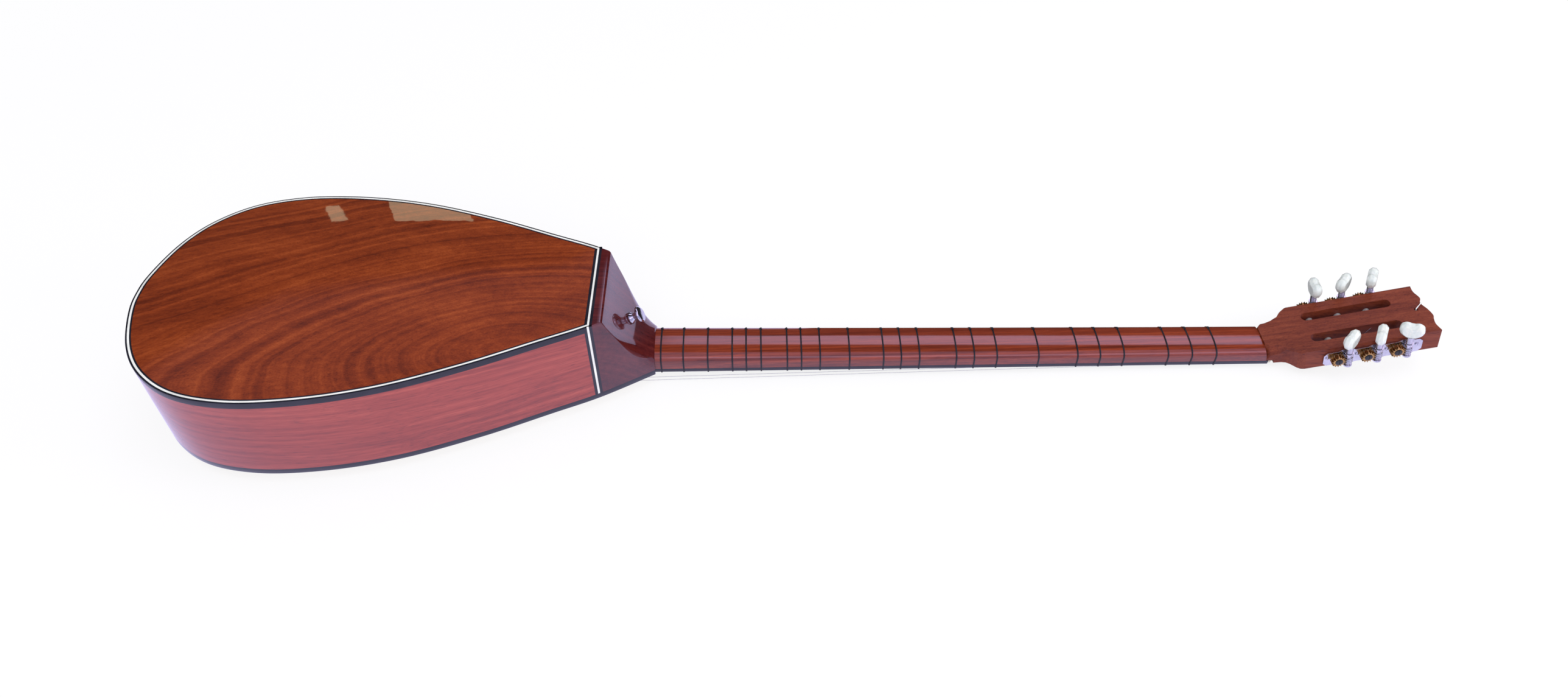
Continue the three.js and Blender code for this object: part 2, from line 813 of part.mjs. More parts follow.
// Tool that planes the treble back edge: it fades out where the headstock reaches its full width
function cornerTool() {
  const places = [
    new THREE.Vector2(-headNeckReach - overrun, neckHalfWidthNut),
    new THREE.Vector2(headCornerTaper - headNeckReach, neckHalfWidthNut),
    ...headFlare.getPoints(headCornerShares.length - 2),
  ];
  const rings = places.map((place, k) => {
    const [across, down] = headCornerShares[k] ?? [0, 0];
    const wide = Math.max(across * headCornerWidth, 3 * seat);
    const high = Math.max(down * headCornerHeight, 3 * seat);
    const off = k < headCornerShares.length ? 0 : 2 * seat;
    const outer = place.y + wide + off + overrun;
    return [
      new THREE.Vector3(place.x, place.y - 2 * wide + off, high + off),
      new THREE.Vector3(place.x, place.y + wide + off, off - 2 * high),
      new THREE.Vector3(place.x, outer, off - 2 * high),
      new THREE.Vector3(place.x, outer, high + off),
    ];
  });
  return lofted(rings);
}

function postAlong(side, k) {
  return (side < 0 ? postFirstBass : postFirstTreble) + k * postPitch;
}

function headstock() {
  const reach = headHalfWidth + overrun;
  const slab = raised(headPlan(), -headThickness - overrun, overrun, wireSides);
  const block = slab.intersect(carried(headSide(), -reach, reach));
  const corner = cornerTool();
  const tools = [corner, corner.mirror([0, 1, 0])];
  for (const side of [-1, 1]) {
    tools.push(slotTool(side));
    for (let k = 0; k < postCount; k += 1) {
      const x = postAlong(side, k);
      const outside = new THREE.Vector3(x, side * (headHalfWidth + overrun), postLevel);
      const inside = new THREE.Vector3(x, side * (postTip - seat), postLevel);
      tools.push(rod(postRadius + postBoreClearance, inside, outside, fineSides));
    }
  }
  const holeX = headLength - hangHoleFromEnd;
  const low = new THREE.Vector3(holeX, 0, -headThickness - overrun);
  tools.push(rod(hangHoleRadius, low, new THREE.Vector3(holeX, 0, overrun), fineSides));
  const nutEnd = nutLength + 2 * seat;
  const nutSeat = box(-headX, nutEnd, -reach, reach, -bodyDepth, seat - fingerboardNutDrop);
  tools.push(inHeadFrame(nutSeat));
  return cutBy(block, tools);
}

// A string slot with round ends, and the ramp that lets the strings in from the front
function slotTool(side) {
  const r = slotWidth / 2;
  const y = side * slotOffset;
  const shape = new THREE.Shape();
  shape.moveTo(r, y - r);
  shape.lineTo(slotLength - r, y - r);
  shape.absarc(slotLength - r, y, r, -Math.PI / 2, Math.PI / 2, false);
  shape.lineTo(r, y + r);
  shape.absarc(r, y, r, Math.PI / 2, (3 * Math.PI) / 2, false);
  const through = raised(shape, -headThickness - overrun, overrun, wireSides);
  const ramp = new THREE.Shape([
    new THREE.Vector2(-slotRampLength, headFrontZ(-slotRampLength)),
    new THREE.Vector2(-slotRampLength, -headThickness - overrun),
    new THREE.Vector2(slotWidth, -headThickness - overrun),
    new THREE.Vector2(slotWidth, slotRampDepth - headThickness),
  ]);
  return through.add(carried(ramp, y - r, y + r));
}

// Machine heads, each in a frame at its post: X to the worm, Y to the treble side, Z out of the back
function gearOutline() {
  const tip = gearRadius + gearAddendum;
  const root = gearRadius - gearDedendum;
  const shape = new THREE.Shape();
  for (let k = 0; k < gearTeeth; k += 1) {
    const middle = (2 * Math.PI * k) / gearTeeth;
    const corners = [
      [root, -gearRootWidth / 2 / root],
      [tip, -gearTipWidth / 2 / tip],
      [tip, gearTipWidth / 2 / tip],
      [root, gearRootWidth / 2 / root],
    ];
    for (const [r, turn] of corners) {
      const x = r * Math.cos(middle + turn);
      const y = r * Math.sin(middle + turn);
      if (k === 0 && turn === corners[0][1]) shape.moveTo(x, y);
      else shape.lineTo(x, y);
    }
  }
  return shape;
}

// Brass gear with teeth slanted to the worm's thread, a hub towards the plate and a bore for the post
function gear(side) {
  const width = gearWidth;
  const geometry = new THREE.ExtrudeGeometry(gearOutline(), { depth: width, bevelEnabled: false });
  geometry.translate(0, 0, -width / 2);
  const slant = wormLead / (2 * Math.PI * wormPitchRadius) / gearRadius;
  const position = geometry.attributes.position;
  const point = new THREE.Vector3();
  for (let i = 0; i < position.count; i += 1) {
    point.fromBufferAttribute(position, i);
    point.applyAxisAngle(new THREE.Vector3(0, 0, 1), slant * point.z);
    position.setXYZ(i, point.x, point.y, point.z);
  }
  geometry.rotateX(-Math.PI / 2);
  geometry.translate(0, side * wormAxisOut, 0);
  const face = side * (wormAxisOut - width / 2);
  const hubEnd = side * (wormAxisOut - width / 2 - gearHubLength);
  const hub = rod(
    gearHubRadius,
    new THREE.Vector3(0, hubEnd, 0),
    new THREE.Vector3(0, face + side * seat, 0),
    fineSides,
  );
  const boreEnd = side * (wormAxisOut + width);
  const start = new THREE.Vector3(0, 0, 0);
  const bore = rod(postStubRadius + seat, start, new THREE.Vector3(0, boreEnd, 0), fineSides);
  return solid(geometry).add(hub).subtract(bore);
}

// String post: a barrel across the slot and a stub for the gear
function post(side) {
  const tip = postTip - headHalfWidth;
  const shoulder = seat + plateThickness;
  const end = wormAxisOut + gearWidth / 2;
  const body = turned([
    [0, tip],
    [postRadius, tip],
    [postRadius, shoulder],
    [postStubRadius, shoulder],
    [postStubRadius, end],
    [0, end],
  ], boreSides);
  return side > 0 ? body : body.rotate([0, 0, 180]);
}

// Worm: a right-hand thread cut on the button shaft, with journals for its two bearings and a collar
function worm() {
  const root = wormPitchRadius - wormDedendum;
  const tip = wormPitchRadius + wormAddendum;
  const core = wormCoreLength / 2;
  const collarFoot = tabOuter + seat;
  const collarTop = collarFoot + collarHeight;
  const stemTop = buttonFoot + buttonHeight * buttonStemShare;
  const turn = (wormThreadTurns * wormLead) / 2;
  const steps = wormThreadTurns * threadSteps;
  const position = [];
  const at = (r, k, z) => {
    const angle = (2 * Math.PI * k) / threadSteps - (2 * Math.PI * turn) / wormLead;
    position.push(r * Math.cos(angle), r * Math.sin(angle), z);
    return position.length / 3 - 1;
  };
  const ring = (r, z) => Array.from({ length: threadSteps }, (_, k) => at(r, k, z));
  const edge = (r, offset) =>
    Array.from({ length: steps + 1 }, (_, k) => at(r, k, (k * wormLead) / threadSteps - turn + offset));
  const index = [];
  const fan = (first, ...rest) => {
    for (let i = 0; i < rest.length - 1; i += 1) index.push(first, rest[i], rest[i + 1]);
  };
  const wrap = (lower, upper) => {
    for (let k = 0; k < threadSteps; k += 1) {
      const next = (k + 1) % threadSteps;
      fan(lower[k], lower[next], upper[next], upper[k]);
    }
  };
  const strip = (lower, upper) => {
    for (let k = 0; k < lower.length - 1; k += 1) fan(lower[k], lower[k + 1], upper[k + 1], upper[k]);
  };
  const foot = [ring(shaftRadius, -tabOuter), ring(shaftRadius, -core), ring(root, -core)];
  const head = [
    ring(root, core),
    ring(shaftRadius, core),
    ring(shaftRadius, collarFoot),
    ring(collarRadius, collarFoot),
    ring(collarRadius, collarTop),
    ring(shaftRadius, collarTop),
    ring(shaftRadius, stemTop),
  ];
  for (const rings of [foot, head]) {
    for (let k = 0; k < rings.length - 1; k += 1) wrap(rings[k], rings[k + 1]);
  }
  fan(...[...foot[0]].reverse());
  fan(...head[head.length - 1]);
  const rise = edge(root, -wormRootWidth / 2);
  const crestLow = edge(tip, -wormTipWidth / 2);
  const crestHigh = edge(tip, wormTipWidth / 2);
  const fall = edge(root, wormRootWidth / 2);
  strip(rise, crestLow);
  strip(crestLow, crestHigh);
  strip(crestHigh, fall);
  strip(fall.slice(0, steps + 1 - threadSteps), rise.slice(threadSteps));
  fan(rise[0], crestLow[0], crestHigh[0], fall[0]);
  fan(rise[steps], fall[steps], crestHigh[steps], crestLow[steps]);
  const low = foot[2];
  const high = head[0];
  const turns = threadSteps;
  strip(low, rise.slice(0, turns));
  fan(rise[turns - 1], low[turns - 1], low[0], rise[0], fall[0], rise[turns]);
  const last = steps - turns;
  strip(fall.slice(last + 1, steps + 1), [...high.slice(1), high[0]]);
  fan(fall[last + 1], high[1], high[0], fall[steps], rise[steps], fall[last]);
  const geometry = new THREE.BufferGeometry();
  geometry.setAttribute('position', new THREE.Float32BufferAttribute(position, 3));
  geometry.setIndex(index);
  return solid(geometry);
}

function button(turn) {
  const half = buttonWidth / 2 - buttonBevel;
  const tall = buttonHeight - 2 * buttonBevel;
  const right = buttonOutlineShares.map(([x, y]) => new THREE.Vector2(x * half, y * tall));
  const left = buttonOutlineShares.map(([x, y]) => new THREE.Vector2(-x * half, y * tall)).reverse();
  const shape = new THREE.Shape([...right, ...left]);
  const geometry = new THREE.ExtrudeGeometry(shape, {
    depth: buttonThickness - 2 * buttonBevel,
    bevelThickness: buttonBevel,
    bevelSize: buttonBevel,
    bevelSegments: 2,
  });
  geometry.translate(0, buttonBevel, -(buttonThickness - 2 * buttonBevel) / 2);
  geometry.rotateX(Math.PI / 2);
  geometry.rotateZ(THREE.MathUtils.degToRad(turn));
  geometry.translate(0, 0, buttonFoot);
  const bore = rod(
    shaftRadius + seat,
    new THREE.Vector3(0, 0, buttonFoot - overrun),
    new THREE.Vector3(0, 0, buttonFoot + buttonHeight * buttonStemShare + seat),
    fineSides,
  );
  return solid(geometry).subtract(bore);
}

// Side plate with a lobe at each worm, a hole for each post and a pair of bearing tabs for each worm
function tunerPlate(side) {
  const start = postAlong(side, 0) - plateMargin;
  const end = postAlong(side, postCount - 1) + plateTail;
  const worms = Array.from({ length: postCount }, (_, k) => postAlong(side, k) + wormOffset);
  const wide = plateLobeHalfWidth;
  const shape = new THREE.Shape([
    new THREE.Vector2(start, plateCorner - plateBelow),
    new THREE.Vector2(start + plateCorner, -plateBelow),
    ...worms.flatMap((x) => [
      new THREE.Vector2(x - wide, -plateBelow),
      new THREE.Vector2(x - wide / 2, -plateLobeReach),
      new THREE.Vector2(x + wide / 2, -plateLobeReach),
      new THREE.Vector2(x + wide, -plateBelow),
    ]),
    new THREE.Vector2(end - plateCorner, -plateBelow),
    new THREE.Vector2(end, plateCorner - plateBelow),
    new THREE.Vector2(end, plateAbove - plateCorner),
    new THREE.Vector2(end - plateCorner, plateAbove),
    ...[...worms].reverse().flatMap((x) => [
      new THREE.Vector2(x + tabWidth, plateAbove),
      new THREE.Vector2(x + tabWidth / 2, tabOuter + seat),
      new THREE.Vector2(x - tabWidth / 2, tabOuter + seat),
      new THREE.Vector2(x - tabWidth, plateAbove),
    ]),
    new THREE.Vector2(start + plateCorner, plateAbove),
    new THREE.Vector2(start, plateAbove - plateCorner),
  ]);
  const inner = side * (headHalfWidth + seat);
  const outer = side * (headHalfWidth + seat + plateThickness);
  const sheet = carried(shape, Math.min(inner, outer), Math.max(inner, outer));
  const axisY = headHalfWidth + wormAxisOut;
  const tabs = [];
  const holes = [];
  for (const x of worms) {
    const tab = new THREE.Shape();
    tab.moveTo(x - tabWidth / 2, side * (headHalfWidth + 2 * seat));
    if (side > 0) {
      tab.lineTo(x + tabWidth / 2, headHalfWidth + 2 * seat);
      tab.absarc(x, axisY, tabWidth / 2, 0, Math.PI, false);
    } else {
      tab.absarc(x, -axisY, tabWidth / 2, Math.PI, 2 * Math.PI, false);
      tab.lineTo(x + tabWidth / 2, -headHalfWidth - 2 * seat);
    }
    tabs.push(raised(tab, tabInner, tabOuter, notchSides));
    tabs.push(raised(tab, -tabOuter, -tabInner, notchSides));
    const post = new THREE.Vector3(x - wormOffset, 0, 0);
    const beyond = new THREE.Vector3(x - wormOffset, outer + side * overrun, 0);
    holes.push(rod(postRadius + postBoreClearance, post, beyond, fineSides));
    const low = new THREE.Vector3(x, side * axisY, -tabOuter - overrun);
    const high = new THREE.Vector3(x, side * axisY, tabOuter + overrun);
    holes.push(rod(shaftRadius + shaftClearance, low, high, fineSides));
  }
  return cutBy(joined([sheet, ...tabs]), holes).translate([0, 0, postLevel]);
}

// Strings
function headPoint(x, y, z) {
  return new THREE.Vector3(x, y, z).applyMatrix4(headFrame.matrix);
}

// String k runs from the tailpiece over the bridge and the nut to its post, in three pairs
function stringPaths() {
  const order = [0, 1, 2, 2, 1, 0];
  return order.map((station, k) => {
    const course = Math.floor(k / 2) - 1;
    const pair = (k % 2) - 0.5;
    const side = k < postCount ? -1 : 1;
    const nutY = course * nutCourseSpacing + pair * nutPairGap;
    const bridgeY = course * bridgeCourseSpacing + pair * bridgePairGap;
    const lift = stringRadius + notchClearance / 4;
    const postX = postAlong(side, station);
    const tangent = postLevel - postRadius - stringRadius - seat;
    const middle = Math.abs(course) < 0.5;
    const slotEdge = slotOffset - slotWidth / 2 + seat + stringRadius;
    const postY = middle ? side * (slotEdge + stringRadius) : side * slotOffset;
    const nutTop = new THREE.Vector3(seat + nutLength / 2, nutY, lift - nutHeight - fingerboardNutDrop);
    const path = [
      new THREE.Vector3(tailX + tailpieceFromTail - stringTailReach, bridgeY, -tailpieceHeight / 2),
      new THREE.Vector3(bridgeX, bridgeY, lift - bridgeHeight),
      nutTop,
    ];
    if (middle) {
      const face = -headThickness - stringRadius - seat;
      const bend = headPoint(-headFrontBend, 0, face);
      const edge = headPoint(postX - postPitch / 2, side * slotEdge, face);
      bend.y = THREE.MathUtils.mapLinear(bend.x, nutTop.x, edge.x, nutTop.y, edge.y);
      path.push(bend, edge);
    }
    path.push(headPoint(postX, postY, tangent));
    return path;
  });
}

function notches() {
  const reach = (stringRadius + notchClearance) * Math.SQRT2;
  return stringPaths().map((path) => wire(path, reach, notchSides));
}

function string(k) {
  return wire(stringPaths()[k], stringRadius);
}

function bridge() {
  const shape = new THREE.Shape();
  const foot = bridgeHalfWidth - bridgeFootWidth;
  shape.moveTo(-bridgeHalfWidth, -seat);
  shape.lineTo(-foot, -seat);
  shape.quadraticCurveTo(0, -seat - 2 * bridgeArchHeight, foot, -seat);
  shape.lineTo(bridgeHalfWidth, -seat);
  shape.lineTo(bridgeHalfWidth - bridgeArchHeight / 2, -bridgeHeight);
  shape.lineTo(-bridgeHalfWidth + bridgeArchHeight / 2, -bridgeHeight);
  const geometry = new THREE.ExtrudeGeometry(shape, {
    depth: bridgeLength,
    bevelEnabled: false,
    curveSegments: wireSides,
  });
  geometry.rotateX(Math.PI / 2);
  geometry.rotateZ(Math.PI / 2);
  geometry.translate(bridgeX - bridgeLength / 2, 0, 0);
  return cutBy(solid(geometry), notches());
}

function tailpiece() {
  const shape = new THREE.Shape();
  const x0 = tailX + tailpieceFromTail;
  const x1 = x0 + tailpieceLength;
  shape.moveTo(x0, -seat);
  shape.lineTo(x0, tailpieceBevel - tailpieceHeight);
  shape.lineTo(x0 + tailpieceBevel, -tailpieceHeight);
  shape.lineTo(x1 - tailpieceBevel, -tailpieceHeight);
  shape.lineTo(x1, tailpieceBevel - tailpieceHeight);
  shape.lineTo(x1, -seat);
  const block = carried(shape, -tailpieceHalfWidth, tailpieceHalfWidth);
  return cutBy(block, notches());
}

// Pickup
function pickupOutline(grow) {
  const r = pickupLength / 2 + grow;
  const straight = pickupHalfWidth - pickupLength / 2;
  const shape = new THREE.Shape();
  shape.moveTo(pickupX + r, -straight);
  shape.lineTo(pickupX + r, straight);
  shape.absarc(pickupX, straight, r, 0, Math.PI, false);
  shape.lineTo(pickupX - r, -straight);
  shape.absarc(pickupX, -straight, r, Math.PI, 2 * Math.PI, false);
  return shape;
}

function pickupCore(grow) {
  return raised(pickupOutline(grow), -pickupTop, pickupDepth, wireSides);
}

function pickup() {
  const flange = raised(pickupOutline(pickupFlange), -seat - pickupFlangeThickness, -seat, wireSides);
  const poles = stringPaths().map(([, onBridge, onNut]) => {
    const y = THREE.MathUtils.mapLinear(pickupX, onBridge.x, onNut.x, onBridge.y, onNut.y);
    const low = new THREE.Vector3(pickupX, y, -pickupTop - poleHeight);
    return rod(poleRadius, low, new THREE.Vector3(pickupX, y, -pickupTop + poleHeight), wireSides);
  });
  return joined([pickupCore(0), flange, ...poles]);
}

// Fluted knob on its shaft, turned in the drawing from the soundboard downwards
function knob() {
  const shape = new THREE.Shape();
  const count = 2 * knobFlutes;
  for (let k = 0; k < count; k += 1) {
    const r = knobRadius - (k % 2) * knobFluteDepth;
    const angle = (2 * Math.PI * k) / count;
    if (k === 0) shape.moveTo(r, 0);
    else shape.lineTo(r * Math.cos(angle), r * Math.sin(angle));
  }
  const cap = raised(shape, -knobLift - knobHeight, -knobLift);
  const low = new THREE.Vector3(0, 0, -knobLift - knobHeight / 2);
  const high = new THREE.Vector3(0, 0, soundboardThickness + seat + potDepth / 2);
  return cap.add(rod(knobShaftRadius, low, high));
}

// Potentiometer: a can under the soundboard, a bush through it and a washer on its face
function potentiometer() {
  const bore = knobShaftRadius + seat;
  const canTop = soundboardThickness + seat;
  const boreEnd = canTop + potDepth / 2 + seat;
  const profile = [
    [bore, -seat - potWasherThickness],
    [potWasherRadius, -seat - potWasherThickness],
    [potWasherRadius, -seat],
    [potBushRadius, -seat],
    [potBushRadius, canTop],
    [potRadius, canTop],
    [potRadius, canTop + potDepth],
    [0, canTop + potDepth],
    [0, boreEnd],
    [bore, boreEnd],
    [bore, -seat - potWasherThickness],
  ];
  return turned(profile).rotate([90, 0, 0]);
}

// Strap pin in the tail with the output socket inside it
function endpinJack() {
  const out = jackStandOut;
  const profile = [
    [0, -jackBarrelLength],
    [jackBarrelRadius, -jackBarrelLength],
    [jackBarrelRadius, seat],
    [jackFlangeRadius, seat],
    [jackFlangeRadius, out / 6],
    [jackWaistRadius, out / 3],
    [jackWaistRadius, (2 * out) / 3],
    [jackHeadRadius, (5 * out) / 6],
    [jackHeadRadius, out],
    [jackBoreRadius, out],
    [jackBoreRadius, out - jackBoreLength],
    [0, out - jackBoreLength],
  ];
  return turned(profile).rotate([0, 0, 90]).translate([tailX, 0, bodyDepth / 2]);
}

// Strap button on the scoop of the heel
function strapButton() {
  const waistTop = strapLength - strapHeadThickness;
  return turned([
    [0, seat],
    [strapBaseRadius, seat],
    [strapBaseRadius, strapBaseThickness],
    [strapWaistRadius, strapBaseThickness + strapWaistRadius / 2],
    [strapWaistRadius, waistTop - strapWaistRadius / 2],
    [strapHeadRadius, waistTop],
    [strapHeadRadius, strapLength - strapHeadThickness / 3],
    [strapHeadRadius * strapHeadFaceShare, strapLength],
    [0, strapLength],
  ]);
}

// Nylon loop through the hole at the end of the headstock
function hangingLoop() {
  const holeX = headLength - hangHoleFromEnd;
  const [across, wave] = headWaveShares[loopNotch];
  const notchX = headLength - (headEndSlant * (1 + across)) / 2 + wave * headWave;
  const endX = notchX + loopRadius + seat;
  const endY = across * headHalfWidth;
  const top = loopRadius + seat;
  const low = -headThickness - loopRadius - seat;
  const points = [
    new THREE.Vector3(holeX, 0, low),
    new THREE.Vector3(holeX, 0, top),
    new THREE.Vector3(endX, endY, top),
    new THREE.Vector3(endX, endY, low),
  ];
  return wire(points, loopRadius, wireSides, true);
}

// Assembly
const instrument = new THREE.Group();

instrument.add(named('back_plate', backPlate(), mahogany()));
instrument.add(named('rib_bass', rib(-1), mahogany()));
instrument.add(named('rib_treble', rib(1), mahogany()));
instrument.add(named('soundboard', soundboard(), spruce()));
instrument.add(named('top_binding', topBinding(), blackBinding()));
instrument.add(named('back_binding', backBinding(), blackBinding()));
instrument.add(named('back_purfling', whiteLine(0), whiteBinding()));
instrument.add(named('heel_block', heelBlock(), rosewood()));
instrument.add(named('tail_block', tailBlock(), innerWood()));
instrument.add(named('back_brace_upper', backBrace(tailX + backBraceUpperFromTail), innerWood()));
instrument.add(named('back_brace_lower', backBrace(tailX + backBraceLowerFromTail), innerWood()));
instrument.add(named('top_brace', topBrace(), innerWood()));
instrument.add(named('top_lining', lining(topLiningZ), innerWood()));
instrument.add(named('back_lining', lining(backLiningZ), innerWood()));
instrument.add(named('neck_shaft', neckShaft(), neckWood()));
instrument.add(named('fingerboard', fingerboard(), ebony()));
instrument.add(named('nut', nut(), bone()));
instrument.add(named('bridge', bridge(), rosewood()));
instrument.add(named('tailpiece', tailpiece(), ebony()));
instrument.add(named('pickup', pickup(), blackPlastic()));
instrument.add(named('endpin_jack', endpinJack(), nickel()));

const strap = named('strap_button', strapButton(), steel());
const scoopMiddle = scoopCurve.getPoint(1 / 2);
const scoopSlope = scoopCurve.getTangent(1 / 2);
const strapAxis = new THREE.Vector3(-scoopSlope.y, 0, scoopSlope.x);
strap.position.set(scoopMiddle.x, 0, scoopMiddle.y);
strap.quaternion.setFromUnitVectors(new THREE.Vector3(0, 1, 0), strapAxis);
instrument.add(strap);

for (const [name, x, y] of controls) {
  const control = new THREE.Group();
  control.position.set(x, y, 0);
  control.add(named(`${name}_knob`, knob(), blackPlastic()));
  control.add(named(`${name}_pot`, potentiometer(), nickel()));
  instrument.add(control);
}

for (let k = 0; k < 2 * postCount; k += 1) {
  instrument.add(named(`string_${k + 1}`, string(k), steel()));
}

headFrame.add(named('headstock', headstock(), headWood()));
headFrame.add(named('tuner_plate_bass', tunerPlate(-1), nickel()));
headFrame.add(named('tuner_plate_treble', tunerPlate(1), nickel()));
headFrame.add(named('hanging_loop', hangingLoop(), nylon()));
for (let k = 0; k < 2 * postCount; k += 1) {
  const side = k < postCount ? -1 : 1;
  const tuner = new THREE.Group();
  tuner.position.set(postAlong(side, k % postCount), side * headHalfWidth, postLevel);
  tuner.add(named(`tuner_gear_${k + 1}`, gear(side), brass()));
  tuner.add(named(`tuner_post_${k + 1}`, post(side), steel()));
  const drive = new THREE.Group();
  drive.position.set(wormOffset, side * wormAxisOut, 0);
  drive.add(named(`tuner_worm_${k + 1}`, worm(), nickel()));
  drive.add(named(`tuner_button_${k + 1}`, button(buttonTurns[k]), pearl()));
  tuner.add(drive);
  headFrame.add(tuner);
}
instrument.add(headFrame);

// The finished part stands on its bridge, with its zero under the middle of its length
const part = new THREE.Group();
part.add(instrument);
instrument.updateMatrixWorld(true);
const extent = new THREE.Box3().setFromObject(instrument, true);
const middle = extent.getCenter(new THREE.Vector3());
instrument.position.set(-middle.x, -middle.y, -extent.min.z);

export default part;
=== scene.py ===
"""Looks of the electric saz: smooth skins for rounded pieces, fine pieces, finishes and the studio."""

import json
import math

import bmesh
import bpy
import numpy as np
from mathutils import Matrix, Vector


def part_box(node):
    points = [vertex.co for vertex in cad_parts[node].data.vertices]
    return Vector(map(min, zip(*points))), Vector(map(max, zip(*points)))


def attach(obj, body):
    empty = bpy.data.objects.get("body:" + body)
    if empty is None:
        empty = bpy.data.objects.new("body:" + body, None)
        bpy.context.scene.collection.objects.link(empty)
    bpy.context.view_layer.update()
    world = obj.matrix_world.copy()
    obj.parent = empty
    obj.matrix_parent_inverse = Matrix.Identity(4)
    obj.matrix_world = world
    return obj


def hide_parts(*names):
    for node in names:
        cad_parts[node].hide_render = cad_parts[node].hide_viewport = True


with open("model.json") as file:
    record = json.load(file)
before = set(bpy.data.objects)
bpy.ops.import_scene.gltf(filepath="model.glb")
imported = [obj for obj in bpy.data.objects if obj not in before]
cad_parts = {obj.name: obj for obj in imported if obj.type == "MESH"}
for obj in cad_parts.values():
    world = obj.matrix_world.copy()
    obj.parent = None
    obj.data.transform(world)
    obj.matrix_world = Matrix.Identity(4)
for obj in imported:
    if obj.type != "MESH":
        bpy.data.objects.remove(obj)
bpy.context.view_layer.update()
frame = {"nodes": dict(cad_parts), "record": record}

# Lengths are in millimetres from the nut, on the centre line, in the plane of the soundboard
MM = 0.001
ORIGIN = Vector((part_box("fingerboard")[1].x, 0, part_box("soundboard")[0].z))

# The camera that took the photograph
CAMERA_PLACE = (-437.6, -668.2, 696.8)
CAMERA_AZIMUTH = math.radians(-1.56)
CAMERA_ELEVATION = math.radians(45.97)
CAMERA_ROLL = math.radians(0.14)
CAMERA_LENS = 25.51
CAMERA_SENSOR = 36

# Body: its plates, the edge bindings, the white line let into them, the band across the heel, and the heel's
# scoop, a curve with one control point that turns into the section of the neck over its last part
BODY_LENGTH = 368
BODY_HALF_WIDTH = 122
BODY_DEPTH = 83
HEEL_LENGTH = 45
HEEL_END_HALF_WIDTH = 23
BACK_ARCH = 6
ARCH_PEAK_FROM_TAIL = 125
BACK_THICKNESS = 3.2
RIB_THICKNESS = 3.4
BINDING_WIDTH = 2.2
BINDING_HEIGHT = 5.5
BINDING_EASE = 0.5
BACK_BAND_WIDTH = 4.4
BACK_BAND_THICKNESS = 2.2
HEEL_BAND_HALF = 3
WHITE_INSET = 1.5
WHITE_WIDTH = 1.6
WHITE_DEPTH = 0.9
HEEL_FLAT_LENGTH = 7
SCOOP_CONTROL_RUN = 15
SCOOP_CONTROL_HEIGHT = 38
CREASE_EASE = 1.8
HEEL_EASE = 1.3
HEEL_MORPH = 28
JACK_WINDOW_HALF = 5.6
# A hair's breadth left between skins that meet
SEAM = 0.04

# Plan of the body, as shares of its length from the tail and of its greatest half width, the points spread
# along it, how far it runs on past the heel, and how near to a cut its points may lie
OUTLINE_SHARES = ((0.004, 0.149), (0.04, 0.498), (0.09, 0.726), (0.17, 0.905), (0.28, 0.992), (0.42, 0.989),
                  (0.58, 0.903), (0.75, 0.727), (0.9, 0.53), (1, 0.396))
OUTLINE_POINTS = 337
OUTLINE_OVERRUN = 6
RIM_END_GAP = 0.5
RIM_START_GAP = 0.2

# Neck and fingerboard; the joint between them slants from the nut to the heel
NECK_LENGTH = 529.5
NECK_HALF_WIDTH_NUT = 17.5
NECK_HALF_WIDTH_HEEL = 20.5
NECK_DEPTH_NUT = 10.2
NECK_DEPTH_HEEL = 19.6
NECK_DEPTH_POWER = 1.35
NECK_SIDE_HEIGHT = 4.3
SECTION_POWER = 0.8
BOARD_HEEL_RISE = 4.2
BOARD_NUT_DROP = 2.1
BOARD_HEIGHT = 4
BOARD_EASE = 0.5

# Tied frets: turns of gut side by side, with a knot on the treble side. The part carries them as bands on its
# fingerboard, whose width lies in a range
FRET_TURNS = 3
STRAND_RADIUS = 0.22
STRAND_PITCH = 0.43
KNOT_RADIUS = 0.95
KNOT_STRAND = 0.36
KNOT_ANGLE = math.radians(52)
KNOT_LIFT = 0.6
KNOT_WIDE = 1.15
KNOT_LONG = 1.6
KNOT_STEPS = 36
STRAND_CORNER = 0.6
FRET_BAND_RANGE = (2, 4)

# Headstock and machine heads, in the tilted frame of the headstock. The button's outline is in shares of half
# its width and of its height between the bevels. A screw is (radius, height, width of its slot)
HEAD_TILT = math.radians(13)
HEAD_PLACE = (31.5, 19.9)
HEAD_HALF_WIDTH = 27.3
HEAD_THICKNESS = 21.3
HEAD_NECK_REACH = 37.4
POST_FIRST = {-1: 16.4, 1: 9.2}
POST_PITCH = 23.8
POST_RADIUS = 3
POST_TIP = 2.2
SLOT_OFFSET = 12.7
WORM_OUT = 5.35
WORM_ALONG = 8.2
WORM_ROOT = 2.1
WORM_TIP = 3.55
WORM_LEAD = 2.199
WORM_TURNS = 3
WORM_CORE = 5.8
THREAD_ROOT_HALF = 0.62
THREAD_FLANK = 0.4
THREAD_FADE = 0.3
TAB_OUTER = 7.4
SHAFT_RADIUS = 1.6
COLLAR_RADIUS = 2.6
COLLAR_FOOT = 7.7
COLLAR_HEIGHT = 7
COLLAR_RINGS = 5
COLLAR_GROOVE = 0.45
COLLAR_RING_SHAPE = ((0.0, 0.0), (0.12, 0.7), (0.3, 1.0), (0.7, 1.0), (0.88, 0.7))
BUTTON_FOOT = 15
BUTTON_WIDTH = 19
BUTTON_HEIGHT = 15.5
BUTTON_THICKNESS = 7.8
BUTTON_BEVEL = 2.4
BUTTON_EASE = 0.8
BUTTON_FACE_INSET = 0.5
BUTTON_TURNS = (42, 61, -29, 88, 46, 61)
BUTTON_SHARES = ((0.42, 0), (0.82, 0.24), (1, 0.56), (0.93, 0.85), (0.64, 1), (0.25, 0.91))
GEAR_FACE = 7.85
GEAR_SEAT_RADIUS = 1.7
GEAR_SCREW = (3.1, 0.9, 0.5)
PLATE_FACE = 1.5
